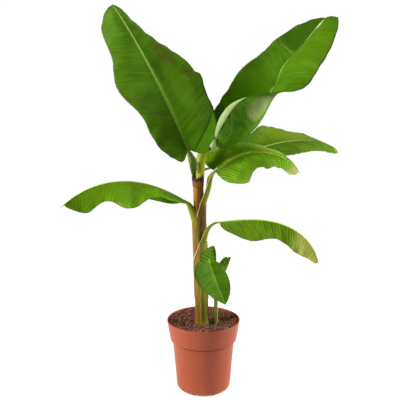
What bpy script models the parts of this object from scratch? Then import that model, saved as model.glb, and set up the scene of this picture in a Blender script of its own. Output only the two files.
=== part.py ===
"""Potted banana plant: a plastic pot of potting mix, a leaning false stem, six broad leaves and a sucker.

Metres, +Z up. The origin is at the centre of the pot's flat underside. +X is to the right of the plant's
front, which faces -Y. Each leaf is a stalk and a blade, worked out from the sizes in LEAVES.
"""
import bmesh
import bpy
from math import cos, exp, pi, radians, sin, sqrt
from mathutils import Vector, noise

# ---- Driving sizes ----
GAP = 0.0003                 # clear space between pieces that touch on the real plant

POT_HEIGHT = 0.212
POT_RIM_RADIUS = 0.105
POT_COLLAR_RADIUS = 0.0960   # at the collar's lower edge
POT_COLLAR_DROP = 0.059      # how far the collar reaches below the rim
POT_STEP = 0.0065            # how far the wall steps in under the collar
POT_FOOT_RADIUS = 0.0775
POT_FOOT_ROUND = 0.016       # radius of the rounded lower edge
FOOT_STEPS = 5
POT_WALL = 0.0024
POT_FLOOR = 0.004
RIM_LIP = 0.0035             # thickness of the rim
RIM_EASE = 0.0012            # how far its edges are eased
RIM_DEPTH = 0.005            # height of the thick lip on the inside
STEP_SLOPE = 0.004           # height over which the wall steps in
COLLAR_EASE = 0.001
DRAIN_HOLES = 8
DRAIN_WIDTH = 0.010
DRAIN_HEIGHT = 0.006
DRAIN_MIDDLE = 0.0048        # height of a drain hole's middle
DRAIN_CUT = 0.024            # how deep the cut runs through the rounded edge
POT_SIDES = 48

MIX_TOP = 0.200              # the flat patch that the stems stand on
MIX_WALL_RISE = 0.005        # how far the mix rises towards the wall
MIX_RISE_FROM = 0.056        # radius where that rise starts
MIX_ROUGHNESS = 0.004
MIX_RINGS = 8
MIX_SHOULDER = 0.004         # height of the low edge against the wall
MIX_LUMPS = ((70.0, 1.0), (150.0, 0.5))   # lumps a metre and their share of the roughness
CALM_STEM = 0.037            # radius of the flat patch round the stem, and round the sucker
CALM_SUCKER = 0.020
CALM_EDGE = 0.014            # width over which the patch turns rough
WALL_CLEARANCE = 0.00045

STEM_FOOT = Vector((-0.0036, 0.0, MIX_TOP + GAP))
STEM_TOP = Vector((-0.0156, 0.0, 0.628))
STEM_RADIUS = 0.0195         # from the flare up to the lowest leaves
STEM_NECK_RADIUS = 0.0152    # above the lowest leaves
NECK_HEIGHT = 0.515          # middle of the narrowing
NECK_SPAN = 0.08
FLARE = 0.0030
FLARE_REACH = 0.014
STALKS_FOOT = STEM_TOP.z + GAP
STEM_SIDES = 20
STEM_RINGS = 20
STEM_RING_CROWDING = 1.25    # above 1, the rings stand closer together at the flare

COLLAR_WALL = 0.0014
COLLAR_BOTTOM = 0.610
COLLAR_TOP = 0.632
COLLAR_FLARE = 0.0012        # how far it stands off the stem at the top
COLLAR_RAGGED = 0.006        # how far its torn points stand above the rest
COLLAR_TORN_EVERY = 3        # one side in so many is torn half as high again

STALK_GAP_SHARE = 1.3        # space from a stalk's end to its blade, as a share of the stalk's radius there
LIMB_RINGS = 10
LIMB_SIDES = 8
UPWARD = Vector((0.0, 0.0, 1.0))

SUCKER_FOOT = Vector((0.0362, 0.000, MIX_TOP + GAP))
SUCKER_TOP = Vector((0.0355, -0.004, 0.318))
SUCKER_RADII = (0.0060, 0.0052)
SUCKER_STALKS_FOOT = SUCKER_TOP.z + GAP * 1.5

BLADE_STATIONS = 24          # crossings of a blade between its foot and its tip
RIB_SUBSTEPS = 4             # steps of the midrib's line between two crossings
HALF_COLUMNS = 3             # strips between the midrib and one margin
ROLLED_COLUMNS = 7           # the same on a half that rolls over
ROLLED_CURL = 90             # a half that curls further than this rolls over
NARROWING_POWER = 2.2        # how suddenly a blade narrows to its tip
LEAST_HALF_WIDTH = 0.0025
BLADE_THICKNESS_SHARE = 0.01  # of the blade's length
USUAL_BEND = 1.5             # power by which a midrib's droop gathers towards its tip


def half(width, foot, fold, fold_gain, curl, curl_gain, wave=0.0, waves=2.5, phase=0.0, turn=0.5, over=1.0):
    """One side of a blade: width at its widest, share of it at the foot, angles from the flat in degrees."""
    return dict(width=width, foot=foot, fold=fold, fold_gain=fold_gain, curl=curl, curl_gain=curl_gain,
                wave=wave, waves=waves, phase=phase, turn=turn, over=over)


# Heading is the way a leaf points seen from above, 0 to +X and 90 to +Y. Rise is its angle above level at
# the foot and droop how much of that it loses by the tip. Full and taper are the shares of the length over
# which the blade widens and narrows. The veins run forward from square across by vein_foot to vein_tip.
# A stalk sets out from stalk_from along stalk_way. The longer that way, and stalk_end, the later it bends.
LEAVES = {
    "upper_left": dict(
        root=(-0.042, -0.032, 0.717), length=0.476, heading=140, sweep=-5, rise=59, droop=17,
        roll=-8, twist=-19, full=0.43, taper=0.65, vein_foot=-42, vein_tip=29,
        left=half(0.103, 0.38, 3, -30, -4, -18, -0.094, 2.75, 0.33),
        right=half(0.126, 0.23, 46, -92, -1, -11, -0.061, 2.57, 0.30),
        stalk_from=(-0.0238, -0.001, STALKS_FOOT), stalk_way=(0.00, 0.00, 1.0),
        stalk_radius=0.0060, stalk_tip=0.0052),
    "upper_right": dict(
        root=(0.0384, 0.036, 0.7122), length=0.492, heading=29, sweep=-12, rise=26.8, droop=-26,
        roll=26.3, twist=-18, bend=0.5, full=0.28, taper=0.37, vein_foot=-15, vein_tip=13,
        left=half(0.110, 0.44, 57, -36, 42, -62, -0.023, 2.5, -0.38),
        right=half(0.2137, 0.045, -3, 72, 140, -234, turn=0.39, over=0.37),
        stalk_from=(-0.0085, 0.000, STALKS_FOOT), stalk_way=(-0.26, -0.10, 1.8), stalk_end=0.5,
        stalk_radius=0.0086, stalk_tip=0.0060),
    "right_near": dict(
        root=(0.031, -0.010, 0.653), length=0.272, heading=27, sweep=-40, rise=34, droop=103,
        roll=-1, twist=-6, full=0.21, taper=0.59, vein_foot=-16, vein_tip=38,
        left=half(0.071, 0.20, 31, -6, -4, -35, 0.058, 2.60, 0.07),
        right=half(0.106, 0.10, -14, 5, -20, 27, 0.085, 2.65, -0.26),
        stalk_from=(-0.0010, -0.006, 0.562), stalk_way=(0.30, 0.00, 1.0), stalk_end=0.45,
        stalk_radius=0.0070, stalk_tip=0.0045),
    "right_far": dict(
        root=(0.033, 0.060, 0.652), length=0.561, heading=38, sweep=13, rise=12, droop=36,
        roll=12, twist=-3, full=0.28, taper=0.39, vein_foot=-12, vein_tip=25,
        left=half(0.091, 0.35, 11, -4, 7, -16, 0.205, 2.82, -0.21),
        right=half(0.065, 0.34, 7, -7, -15, -34, 0.079, 2.32, 0.20),
        stalk_from=(-0.0185, 0.0108, STALKS_FOOT), stalk_way=(0.00, 0.10, 1.0), stalk_end=1.0,
        stalk_radius=0.0038, stalk_tip=0.0036),
    "left_low": dict(
        root=(-0.057, -0.020, 0.575), length=0.375, heading=213, sweep=-13, rise=33, droop=73,
        roll=2, twist=-8, full=0.33, taper=0.67, vein_foot=0, vein_tip=17,
        left=half(0.072, 0.31, -15, -61, 6, -16, -0.227, 2.57, 0.53),
        right=half(0.042, 0.15, -68, 0, -20, 0),
        stalk_from=(-0.0290, -0.003, 0.505), stalk_way=(-0.20, -0.10, 1.0),
        stalk_radius=0.0068, stalk_tip=0.0048),
    "right_low": dict(
        root=(0.043, -0.040, 0.512), length=0.331, heading=-18, sweep=0, rise=9, droop=88,
        roll=1, twist=-1, bend=2.0, full=0.30, taper=0.61, vein_foot=5, vein_tip=34,
        left=half(0.045, 0.15, -70, 0, -20, 0),
        right=half(0.056, 0.10, -58, 2, -32, 1, 0.130, 2.12, 0.73),
        stalk_from=(0.0035, -0.016, 0.452), stalk_way=(0.30, -0.30, 1.0),
        stalk_radius=0.0062, stalk_tip=0.0042),
    "sucker_front": dict(
        root=(0.018, -0.047, 0.397), length=0.135, heading=-63, sweep=-5, rise=-48, droop=-16,
        roll=0, twist=0, full=0.41, taper=0.61, vein_foot=-11, vein_tip=15,
        left=half(0.035, 0.32, 9, 7, 2, 4),
        right=half(0.057, 0.32, 9, 8, 2, 4),
        stalk_from=(0.0350, -0.0068, SUCKER_STALKS_FOOT), stalk_way=(0.00, -0.40, 1.0),
        stalk_radius=0.0022, stalk_tip=0.0018),
    "sucker_top": dict(
        root=(0.029, -0.014, 0.386), length=0.050, heading=100, sweep=0, rise=70, droop=-12,
        roll=0, twist=0, full=0.23, taper=0.57, vein_foot=-12, vein_tip=22,
        left=half(0.045, 0.35, 17, 5, 1, 2),
        right=half(0.009, 0.60, 16, 1, 0, 0),
        stalk_from=(0.0330, -0.0018, SUCKER_STALKS_FOOT), stalk_way=(0.0, 0.10, 1.0),
        stalk_radius=0.0020, stalk_tip=0.0015),
    "sucker_back": dict(
        root=(0.050, 0.004, 0.354), length=0.048, heading=53, sweep=-5, rise=57, droop=27,
        roll=-2, twist=-2, full=0.24, taper=0.48, vein_foot=-12, vein_tip=30,
        left=half(0.015, 0.35, 13, 1, -1, 1),
        right=half(0.022, 0.36, 14, 2, 0, 1),
        stalk_from=(0.0384, -0.0030, SUCKER_STALKS_FOOT), stalk_way=(0.05, 0.0, 1.0),
        stalk_radius=0.0020, stalk_tip=0.0015),
}


def principled(name, colour, roughness):
    """A plain coat for one kind of piece."""
    material = bpy.data.materials.new(name)
    material.use_nodes = True
    shader = material.node_tree.nodes["Principled BSDF"]
    shader.inputs["Base Color"].default_value = (*colour, 1.0)
    shader.inputs["Roughness"].default_value = roughness
    return material


def smooth_step(place):
    """0 before 0, 1 after 1 and an even S between."""
    place = min(max(place, 0.0), 1.0)
    return place * place * (3.0 - 2.0 * place)


def finish(name, mesh_builder, material, parent, smooth=True):
    """Turns a built bmesh into a named object with outward faces."""
    bmesh.ops.recalc_face_normals(mesh_builder, faces=mesh_builder.faces)
    mesh = bpy.data.meshes.new(name)
    mesh_builder.to_mesh(mesh)
    mesh_builder.free()
    if smooth:
        mesh.shade_smooth()
    thing = bpy.data.objects.new(name, mesh)
    thing.data.materials.append(material)
    thing.parent = parent
    bpy.context.scene.collection.objects.link(thing)
    return thing


def cut(thing, cutter):
    """Takes the cutter's shape out of the thing and hides the cutter."""
    cutter.hide_render = True
    cutter.display_type = "WIRE"
    modifier = thing.modifiers.new("cut", "BOOLEAN")
    modifier.operation = "DIFFERENCE"
    modifier.object = cutter


def ring_stack(rings):
    """A bmesh of rings of points, each joined to the next, with a cap at both ends."""
    shape = bmesh.new()
    rows = []
    for ring in rings:
        rows.append([shape.verts.new(point) for point in ring])
    sides = len(rows[0])
    for lower, upper in zip(rows, rows[1:]):
        for side in range(sides):
            after = (side + 1) % sides
            shape.faces.new((lower[side], lower[after], upper[after], upper[side]))
    shape.faces.new(rows[0][::-1])
    shape.faces.new(rows[-1])
    return shape


# ---- Pot and potting mix ----
def pot_inside():
    """The inner wall as (radius, height), from under the rim down to the floor's edge."""
    collar_foot = POT_HEIGHT - POT_COLLAR_DROP
    return [(POT_RIM_RADIUS - RIM_LIP - RIM_EASE / 2, POT_HEIGHT - RIM_DEPTH),
            (POT_COLLAR_RADIUS - POT_WALL, collar_foot + STEP_SLOPE),
            (POT_COLLAR_RADIUS - POT_STEP - POT_WALL, collar_foot - STEP_SLOPE),
            (POT_FOOT_RADIUS - POT_WALL, POT_FOOT_ROUND),
            (POT_FOOT_RADIUS - POT_FOOT_ROUND, POT_FLOOR)]


def pot_profile():
    """The whole section as (radius, height), from the middle of the underside round to the inner floor."""
    outer = [(0.0, 0.0), (POT_FOOT_RADIUS - POT_FOOT_ROUND, 0.0)]
    for step in range(1, FOOT_STEPS + 1):
        turn = radians(90.0 * step / FOOT_STEPS)
        radius = POT_FOOT_RADIUS - POT_FOOT_ROUND * (1.0 - sin(turn))
        outer.append((radius, POT_FOOT_ROUND * (1.0 - cos(turn))))
    collar_foot = POT_HEIGHT - POT_COLLAR_DROP
    outer += [(POT_COLLAR_RADIUS - POT_STEP, collar_foot - STEP_SLOPE),
              (POT_COLLAR_RADIUS - COLLAR_EASE, collar_foot),
              (POT_COLLAR_RADIUS, collar_foot + COLLAR_EASE),
              (POT_RIM_RADIUS - RIM_EASE, POT_HEIGHT - RIM_DEPTH - RIM_EASE),
              (POT_RIM_RADIUS, POT_HEIGHT - RIM_DEPTH),
              (POT_RIM_RADIUS - RIM_EASE, POT_HEIGHT)]
    return outer + [(POT_RIM_RADIUS - RIM_LIP, POT_HEIGHT)] + pot_inside() + [(0.0, POT_FLOOR)]


def turned(profile, sides):
    """A body of revolution about the Z axis from a profile whose two ends lie on the axis."""
    shape = bmesh.new()
    columns = []
    for side in range(sides):
        angle = 2.0 * pi * side / sides
        columns.append([shape.verts.new((radius * cos(angle), radius * sin(angle), height))
                        for radius, height in profile[1:-1]])
    first = shape.verts.new((0.0, 0.0, profile[0][1]))
    last = shape.verts.new((0.0, 0.0, profile[-1][1]))
    for side in range(sides):
        here = columns[side]
        there = columns[(side + 1) % sides]
        shape.faces.new((first, here[0], there[0]))
        shape.faces.new((last, there[-1], here[-1]))
        for step in range(len(here) - 1):
            shape.faces.new((here[step], here[step + 1], there[step + 1], there[step]))
    return shape


def build_pot(parent):
    """The thin moulded pot, with drain slots round its lower edge."""
    plastic = principled("pot plastic", (0.45, 0.13, 0.06), 0.45)
    pot = finish("pot", turned(pot_profile(), POT_SIDES), plastic, parent)
    pot.data.set_sharp_from_angle(angle=radians(40))
    slots = bmesh.new()
    for hole in range(DRAIN_HOLES):
        angle = 2.0 * pi * (hole + 0.5) / DRAIN_HOLES
        block = bmesh.ops.create_cube(slots, size=1.0)["verts"]
        bmesh.ops.scale(slots, vec=(DRAIN_CUT, DRAIN_WIDTH, DRAIN_HEIGHT), verts=block)
        out = POT_FOOT_RADIUS - POT_FOOT_ROUND / 5
        bmesh.ops.translate(slots, vec=(out, 0.0, DRAIN_MIDDLE), verts=block)
        for vertex in block:
            x, y, z = vertex.co
            vertex.co = (x * cos(angle) - y * sin(angle), x * sin(angle) + y * cos(angle), z)
    cut(pot, finish("drain slot cutter", slots, plastic, parent, smooth=False))
    return pot


def mix_height(x, y):
    """The surface of the mix: flat round the two stems and rough elsewhere."""
    near_stem = (Vector((x, y)) - STEM_FOOT.xy).length
    near_sucker = (Vector((x, y)) - SUCKER_FOOT.xy).length
    rough = smooth_step((near_stem - CALM_STEM) / CALM_EDGE)
    rough *= smooth_step((near_sucker - CALM_SUCKER) / CALM_EDGE)
    bumps = 0.0
    for layer, (pitch, share) in enumerate(MIX_LUMPS):
        bumps += share * noise.noise(Vector((x, y, 3.0 * layer)) * pitch)
    rise = smooth_step((sqrt(x * x + y * y) - MIX_RISE_FROM) / (POT_COLLAR_RADIUS - MIX_RISE_FROM))
    return MIX_TOP + MIX_ROUGHNESS * rough * bumps + MIX_WALL_RISE * rise


def round_ring(radius, height_at):
    """Points round the pot's axis at one radius, each at its own height."""
    ring = []
    for side in range(POT_SIDES):
        x = radius * cos(2 * pi * side / POT_SIDES)
        y = radius * sin(2 * pi * side / POT_SIDES)
        ring.append((x, y, height_at(x, y)))
    return ring


def build_mix(parent):
    """The bark and coir that fills the pot, a hair clear of its wall."""
    bark = principled("potting mix", (0.09, 0.035, 0.02), 0.95)
    inside = [(radius - WALL_CLEARANCE, height) for radius, height in pot_inside()]
    rim, collar = inside[:2]
    edge = MIX_TOP + MIX_WALL_RISE - MIX_SHOULDER
    edge_radius = collar[0] + (rim[0] - collar[0]) * (edge - collar[1]) / (rim[1] - collar[1])
    floor_radius, floor = inside[-1]
    levels = [(floor_radius, floor + GAP)] + inside[-2:0:-1] + [(edge_radius, edge)]
    rings = [round_ring(radius, lambda x, y, height=height: height) for radius, height in levels]
    for step in range(MIX_RINGS):
        rings.append(round_ring((edge_radius - MIX_SHOULDER / 4) * (1.0 - step / MIX_RINGS), mix_height))
    return finish("potting_mix", ring_stack(rings), bark, parent)


# ---- False stem ----
def stem_radius(height):
    """Radius of the wrapped stem: a small flare at the foot and a neck above the lowest leaves."""
    narrowing = smooth_step((height - NECK_HEIGHT) / NECK_SPAN + 0.5)
    flare = FLARE * exp(-(height - STEM_FOOT.z) / FLARE_REACH)
    return STEM_RADIUS + (STEM_NECK_RADIUS - STEM_RADIUS) * narrowing + flare


def stem_centre(height):
    """Middle of the leaning stem at this height."""
    share = (height - STEM_FOOT.z) / (STEM_TOP.z - STEM_FOOT.z)
    return STEM_FOOT.lerp(STEM_TOP, share)


def stem_ring(radius, heights):
    """Points round the leaning stem, each at its own height."""
    ring = []
    for side, height in enumerate(heights):
        angle = 2 * pi * side / STEM_SIDES
        centre = stem_centre(height)
        ring.append((centre.x + radius * cos(angle), centre.y + radius * sin(angle), height))
    return ring


def stem_shape(extra=0.0):
    """The stem from its flat foot to its flat top, fattened by extra all round."""
    rings = []
    for step in range(STEM_RINGS + 1):
        share = (step / STEM_RINGS) ** STEM_RING_CROWDING
        height = STEM_FOOT.z + (STEM_TOP.z - STEM_FOOT.z) * share
        rings.append(stem_ring(stem_radius(height) + extra, [height] * STEM_SIDES))
    return ring_stack(rings)


def build_stem(parent):
    """The false stem of wrapped leaf sheaths, with the torn dry collar round its top."""
    sheath = principled("leaf sheaths", (0.30, 0.22, 0.06), 0.6)
    stem = finish("false_stem", stem_shape(), sheath, parent)
    stem.data.set_sharp_from_angle(angle=radians(50))
    build_collar(parent)


def build_collar(parent):
    """The torn dry sheath that stands round the stem's top."""
    dry = principled("dry sheath", (0.10, 0.05, 0.03), 0.85)
    inner = stem_radius(COLLAR_BOTTOM) + GAP * 2
    outer = inner + COLLAR_WALL
    bottom = [COLLAR_BOTTOM] * STEM_SIDES
    top = []
    for side in range(STEM_SIDES):
        torn = abs(noise.noise(Vector((side + side / COLLAR_TORN_EVERY, 0.0, 0.0))))
        if side % COLLAR_TORN_EVERY == 0:
            torn += 0.5
        top.append(COLLAR_TOP + COLLAR_RAGGED * min(torn, 1.0))
    rings = [stem_ring(outer, bottom), stem_ring(outer + COLLAR_FLARE, top),
             stem_ring(inner + COLLAR_FLARE, top), stem_ring(inner, bottom)]
    collar = bmesh.new()
    loops = [[collar.verts.new(point) for point in ring] for ring in rings]
    for first, second in zip(loops, loops[1:] + loops[:1]):
        for side in range(STEM_SIDES):
            after = (side + 1) % STEM_SIDES
            collar.faces.new((first[side], first[after], second[after], second[side]))
    finish("dry_collar", collar, dry, parent)


# ---- Leaves ----
def direction(heading, rise):
    """A unit vector from a compass heading and an angle above level, in degrees."""
    return Vector((cos(radians(rise)) * cos(radians(heading)), cos(radians(rise)) * sin(radians(heading)),
                   sin(radians(rise))))


def rib_direction(leaf, share):
    """The way the midrib runs at this share of its length."""
    heading = leaf["heading"] + leaf["sweep"] * share
    return direction(heading, leaf["rise"] - leaf["droop"] * share ** leaf["bend"])


def rib_frame(leaf, share):
    """Along the midrib, out to the leaf's left, and up from its face."""
    along = rib_direction(leaf, share)
    level = UPWARD.cross(along).normalized()
    face = along.cross(level)
    roll = radians(leaf["roll"] + leaf["twist"] * share)
    return along, level * cos(roll) + face * sin(roll), face * cos(roll) - level * sin(roll)


def rib_points(leaf, stations):
    """Points along the midrib, summed up in small steps from the root."""
    steps = stations * RIB_SUBSTEPS
    point = Vector(leaf["root"])
    points = [point.copy()]
    for step in range(steps):
        point = point + rib_direction(leaf, (step + 0.5) / steps) * leaf["length"] / steps
        if (step + 1) % RIB_SUBSTEPS == 0:
            points.append(point.copy())
    return points


def half_width(leaf, side, share):
    """Width of one half of the blade at this share of its length."""
    widening = min(share / leaf["full"], 1.0)
    narrowing = min(max((share - 1.0 + leaf["taper"]) / leaf["taper"], 0.0), 1.0)
    foot = side["foot"] + (1.0 - side["foot"]) * sqrt(1.0 - (1.0 - widening) ** 2)
    ripple = 1.0 + side["wave"] * sin(2.0 * pi * (side["waves"] * share + side["phase"]))
    return max(side["width"] * foot * sqrt(1.0 - narrowing ** NARROWING_POWER) * ripple, LEAST_HALF_WIDTH)


def half_section(leaf, side, sign, share, rib, columns):
    """Points from the midrib out to one margin, marched along the fold and the curl."""
    along, left, face = rib_frame(leaf, share)
    width = half_width(leaf, side, share)
    change = smooth_step((share - side["turn"]) / side["over"] + 0.5)
    fold = radians(side["fold"] + side["fold_gain"] * change)
    curl = radians(side["curl"] + side["curl_gain"] * change)
    vein = radians(leaf["vein_foot"] + (leaf["vein_tip"] - leaf["vein_foot"]) * share)
    step = width / columns
    point = rib.copy()
    points = []
    for column in range(columns):
        angle = fold + curl * (column + 0.5) / columns
        outward = left * (sign * cos(angle)) + face * sin(angle)
        point = point + outward * (step * cos(vein)) + along * (step * sin(vein))
        points.append(point)
    return points


def build_blade(name, leaf, material, parent):
    """The blade as a sheet across its midrib, thickened to a share of its length."""
    sheet = bmesh.new()
    ribs = rib_points(leaf, BLADE_STATIONS)
    rows = []
    for station, rib in enumerate(ribs):
        share = station / BLADE_STATIONS
        halves = []
        for key, sign in (("right", -1), ("left", 1)):
            side = leaf[key]
            columns = ROLLED_COLUMNS if side["curl"] > ROLLED_CURL else HALF_COLUMNS
            halves.append(half_section(leaf, side, sign, share, rib, columns))
        section = halves[0][::-1] + [rib] + halves[1]
        rows.append([sheet.verts.new(point) for point in section])
    for lower, upper in zip(rows, rows[1:]):
        for column in range(len(lower) - 1):
            sheet.faces.new((lower[column], lower[column + 1], upper[column + 1], upper[column]))
    blade = finish(name, sheet, material, parent)
    thicken = blade.modifiers.new("thickness", "SOLIDIFY")
    thicken.thickness = leaf["length"] * BLADE_THICKNESS_SHARE
    thicken.offset = 0.0


def hermite(start, start_way, end, end_way, share):
    """Point on a smooth curve that leaves start along start_way and reaches end along end_way."""
    squared = share ** 2
    cubed = share ** 3
    blend = 3 * squared - 2 * cubed
    return (start * (1 - blend) + end * blend + start_way * (cubed - 2 * squared + share)
            + end_way * (cubed - squared))


def build_limb(name, start, start_way, end, end_way, radii, level_foot, material, parent):
    """A tapering round limb along a smooth curve, its foot cut level or square to its run."""
    reach = (end - start).length
    start_way = start_way * reach
    end_way = end_way * reach
    middle = [hermite(start, start_way, end, end_way, step / LIMB_RINGS) for step in range(LIMB_RINGS + 1)]
    loops = []
    across = Vector((1.0, 0.0, 0.0))
    for step, point in enumerate(middle):
        along = (middle[min(step + 1, LIMB_RINGS)] - middle[max(step - 1, 0)]).normalized()
        if step == 0 and level_foot:
            along = UPWARD
        across = (across - along * across.dot(along)).normalized()
        other = along.cross(across)
        radius = radii[0] + (radii[1] - radii[0]) * step / LIMB_RINGS
        angles = [2 * pi * side / LIMB_SIDES for side in range(LIMB_SIDES)]
        loops.append([point + (across * cos(angle) + other * sin(angle)) * radius for angle in angles])
    return finish(name, ring_stack(loops), material, parent)


def build_leaves(parent):
    """The sucker's short stem, and every leaf's stalk and blade."""
    green = principled("leaf blade", (0.08, 0.20, 0.02), 0.45)
    pale = principled("leaf stalk", (0.30, 0.38, 0.06), 0.5)
    build_limb("sucker_stem", SUCKER_FOOT, UPWARD, SUCKER_TOP, UPWARD, SUCKER_RADII, True, pale, parent)
    clearance = finish("stem clearance cutter", stem_shape(extra=GAP), pale, parent)
    clearance.hide_render = True
    clearance.display_type = "WIRE"
    for place, leaf in LEAVES.items():
        leaf.setdefault("bend", USUAL_BEND)
        leaf.setdefault("stalk_end", 1.0)
        build_blade("leaf_" + place, leaf, green, parent)
        foot = Vector(leaf["stalk_from"])
        level_foot = leaf["stalk_from"][2] in (STALKS_FOOT, SUCKER_STALKS_FOOT)
        rib_way = rib_direction(leaf, 0.0)
        end = Vector(leaf["root"]) - rib_way * leaf["stalk_tip"] * STALK_GAP_SHARE
        radii = (leaf["stalk_radius"], leaf["stalk_tip"])
        end_way = rib_way * leaf["stalk_end"]
        stalk = build_limb("stalk_" + place, foot, Vector(leaf["stalk_way"]), end, end_way, radii,
                           level_foot, pale, parent)
        if not level_foot:
            cut(stalk, clearance)


def build():
    """Clears the scene and builds the whole plant under one parent."""
    for thing in list(bpy.data.objects):
        bpy.data.objects.remove(thing, do_unlink=True)
    plant = bpy.data.objects.new("potted banana plant", None)
    bpy.context.scene.collection.objects.link(plant)
    build_pot(plant)
    build_mix(plant)
    build_stem(plant)
    build_leaves(plant)


build()
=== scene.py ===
"""Potted banana plant.

A plastic pot of potting mix, a leaning false stem of wrapped sheaths, six leaves on stalks and a sucker.
"""
from math import cos, exp, pi, radians, sin, sqrt, tan

import bmesh
import bpy
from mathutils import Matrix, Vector, noise


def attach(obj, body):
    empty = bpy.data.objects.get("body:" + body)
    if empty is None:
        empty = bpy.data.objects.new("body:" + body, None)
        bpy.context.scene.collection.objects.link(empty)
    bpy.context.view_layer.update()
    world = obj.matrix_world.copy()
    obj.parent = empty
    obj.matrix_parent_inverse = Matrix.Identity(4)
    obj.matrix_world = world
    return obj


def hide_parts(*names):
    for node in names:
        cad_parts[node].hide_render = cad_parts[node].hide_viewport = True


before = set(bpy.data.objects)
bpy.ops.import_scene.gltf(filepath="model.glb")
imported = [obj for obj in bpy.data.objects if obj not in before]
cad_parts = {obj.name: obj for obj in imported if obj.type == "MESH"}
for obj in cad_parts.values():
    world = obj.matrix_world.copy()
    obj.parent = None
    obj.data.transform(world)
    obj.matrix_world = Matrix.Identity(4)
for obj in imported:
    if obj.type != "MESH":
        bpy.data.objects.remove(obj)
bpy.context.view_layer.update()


# ---- Pot ----
# A thin grower's pot, injection moulded in terracotta-coloured polypropylene. A tall collar steps out round
# the top, the lower edge is rounded, and slots through that edge let the water out.
POT_HEIGHT = 0.212
RIM_RADIUS = 0.105
COLLAR_RADIUS = 0.0960       # at the collar's lower edge
COLLAR_FOOT = 0.153          # height of that edge
STEP = 0.0065                # how far the wall steps in under the collar
FOOT_RADIUS = 0.0775
FOOT_ROUND = 0.016           # radius of the rounded lower edge
POT_WALL = 0.0024
POT_FLOOR = 0.004            # thickness of the floor
INNER_SLOPE = 0.004          # the inside steps in over twice this height
RIM_LIP = 0.0035             # thickness of the rim
RIM_DEPTH = 0.005            # height of its thick lip on the inside
LIP_SLOPE = 0.0004           # how far the lip leans on the inside
RIM_ROUND = 0.0014           # radius of the rim's outer edge
LIP_ROUND = 0.0010           # radius of its inner edge, and of the edge where the lip starts
LEDGE_ROUND = 0.0016         # radius of the edges of the ledge under the collar
UNDERSIDE_HOLLOW = 0.0012    # how far the middle of the underside is raised
HOLLOW_EDGE = 0.006          # where that hollow ends, inside the rounded edge
STANDING_EDGE = 0.004        # where the ring that the pot stands on starts
POT_SIDES = 144
DRAIN_SLOTS = 8
DRAIN_SLOT = (0.024, 0.010, 0.006)
DRAIN_MIDDLE = 0.0048        # height of a slot's middle


class Wire:
    """One output of a node, on which sums can be written."""

    def __init__(self, net, socket):
        self.net = net
        self.socket = socket

    def math(self, operation, *others):
        sockets = dict(enumerate((self,) + others))
        return self.net.node("ShaderNodeMath", {"operation": operation}, sockets)

    def __add__(self, other):
        return self.math("ADD", other)

    def __mul__(self, other):
        return self.math("MULTIPLY", other)

    def __sub__(self, other):
        return self.math("SUBTRACT", other)

    def __rsub__(self, other):
        return self * -1.0 + other

    def __truediv__(self, other):
        return self.math("DIVIDE", other)

    def __pow__(self, other):
        return self.math("POWER", other)

    __radd__ = __add__
    __rmul__ = __mul__


class Net:
    """A node tree that is being laid out, for a finish or for a shape."""

    def __init__(self, tree):
        self.tree = tree

    def node(self, kind, settings=None, sockets=None, output=0):
        """Adds one node: its type, its settings, the values or links of its sockets and the output to use."""
        node = self.tree.nodes.new(kind)
        for name, value in (settings or {}).items():
            if name == "stops":
                stops = node.color_ramp.elements
                while len(stops) < len(value):
                    stops.new(0.5)
                for stop, (place, colour) in zip(stops, value):
                    stop.position = place
                    stop.color = (*colour, 1.0)
            else:
                setattr(node, name, value)
        for name, value in (sockets or {}).items():
            socket = node.inputs[name]
            for item in value if isinstance(value, list) else [value]:
                if isinstance(item, Wire):
                    self.tree.links.new(item.socket, socket)
                else:
                    socket.default_value = item
        return Wire(self, node.outputs[output])

    def noise(self, vector, scale, detail=2.0, distortion=0.0, rough=0.5):
        """Soft random blotches from 0 to 1."""
        return self.node("ShaderNodeTexNoise", {}, {"Vector": vector, "Scale": scale, "Detail": detail,
                                                    "Distortion": distortion, "Roughness": rough})

    def blend(self, factor, low, high):
        """A colour between two colours."""
        low, high = ((*colour, 1.0) if isinstance(colour, tuple) else colour for colour in (low, high))
        return self.node("ShaderNodeMix", {"data_type": "RGBA"}, {0: factor, 6: low, 7: high}, 2)

    def part(self, vector, axis):
        """One number of a place, by its axis."""
        return self.node("ShaderNodeSeparateXYZ", {}, {"Vector": vector}, axis)

    def vector(self, operation, first, other):
        """A sum on vectors, or a vector scaled by a number."""
        return self.node("ShaderNodeVectorMath", {"operation": operation},
                         {0: first, "Scale" if operation == "SCALE" else 1: other})

    def ease(self, value, start, end):
        """0 up to start, 1 from end and an even S between."""
        return self.node("ShaderNodeMapRange", {"interpolation_type": "SMOOTHSTEP"},
                         {"Value": value, "From Min": start, "From Max": end})


class Finish(Net):
    """A procedural material, with its constants set on the shader itself."""

    def __init__(self, name, **constants):
        self.material = bpy.data.materials.new(name)
        self.material.use_nodes = True
        super().__init__(self.material.node_tree)
        self.shader = self.tree.nodes["Principled BSDF"]
        for socket, value in constants.items():
            self.shader.inputs[socket.replace("_", " ").title().replace("Ior", "IOR")].default_value = value

    def place(self):
        """Where a point of the piece is, in metres."""
        return self.node("ShaderNodeTexCoord", {}, {}, "Object")

    def stretched(self, vector, by):
        """The same place with its axes scaled, which draws a pattern out along one of them."""
        return self.node("ShaderNodeMapping", {}, {"Vector": vector, "Scale": by})

    def drawn(self, vector, by, scale, detail):
        """Blotches drawn out up the piece into threads."""
        return self.noise(self.stretched(vector, (1.0, 1.0, by)), scale, detail)

    def colour(self, wire):
        self.tree.links.new(wire.socket, self.shader.inputs["Base Color"])

    def roughness(self, wire):
        self.tree.links.new(wire.socket, self.shader.inputs["Roughness"])

    def relief(self, height, depth):
        bump = self.node("ShaderNodeBump", {}, {"Height": height, "Distance": depth, "Strength": 1.0})
        self.tree.links.new(bump.socket, self.shader.inputs["Normal"])


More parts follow.
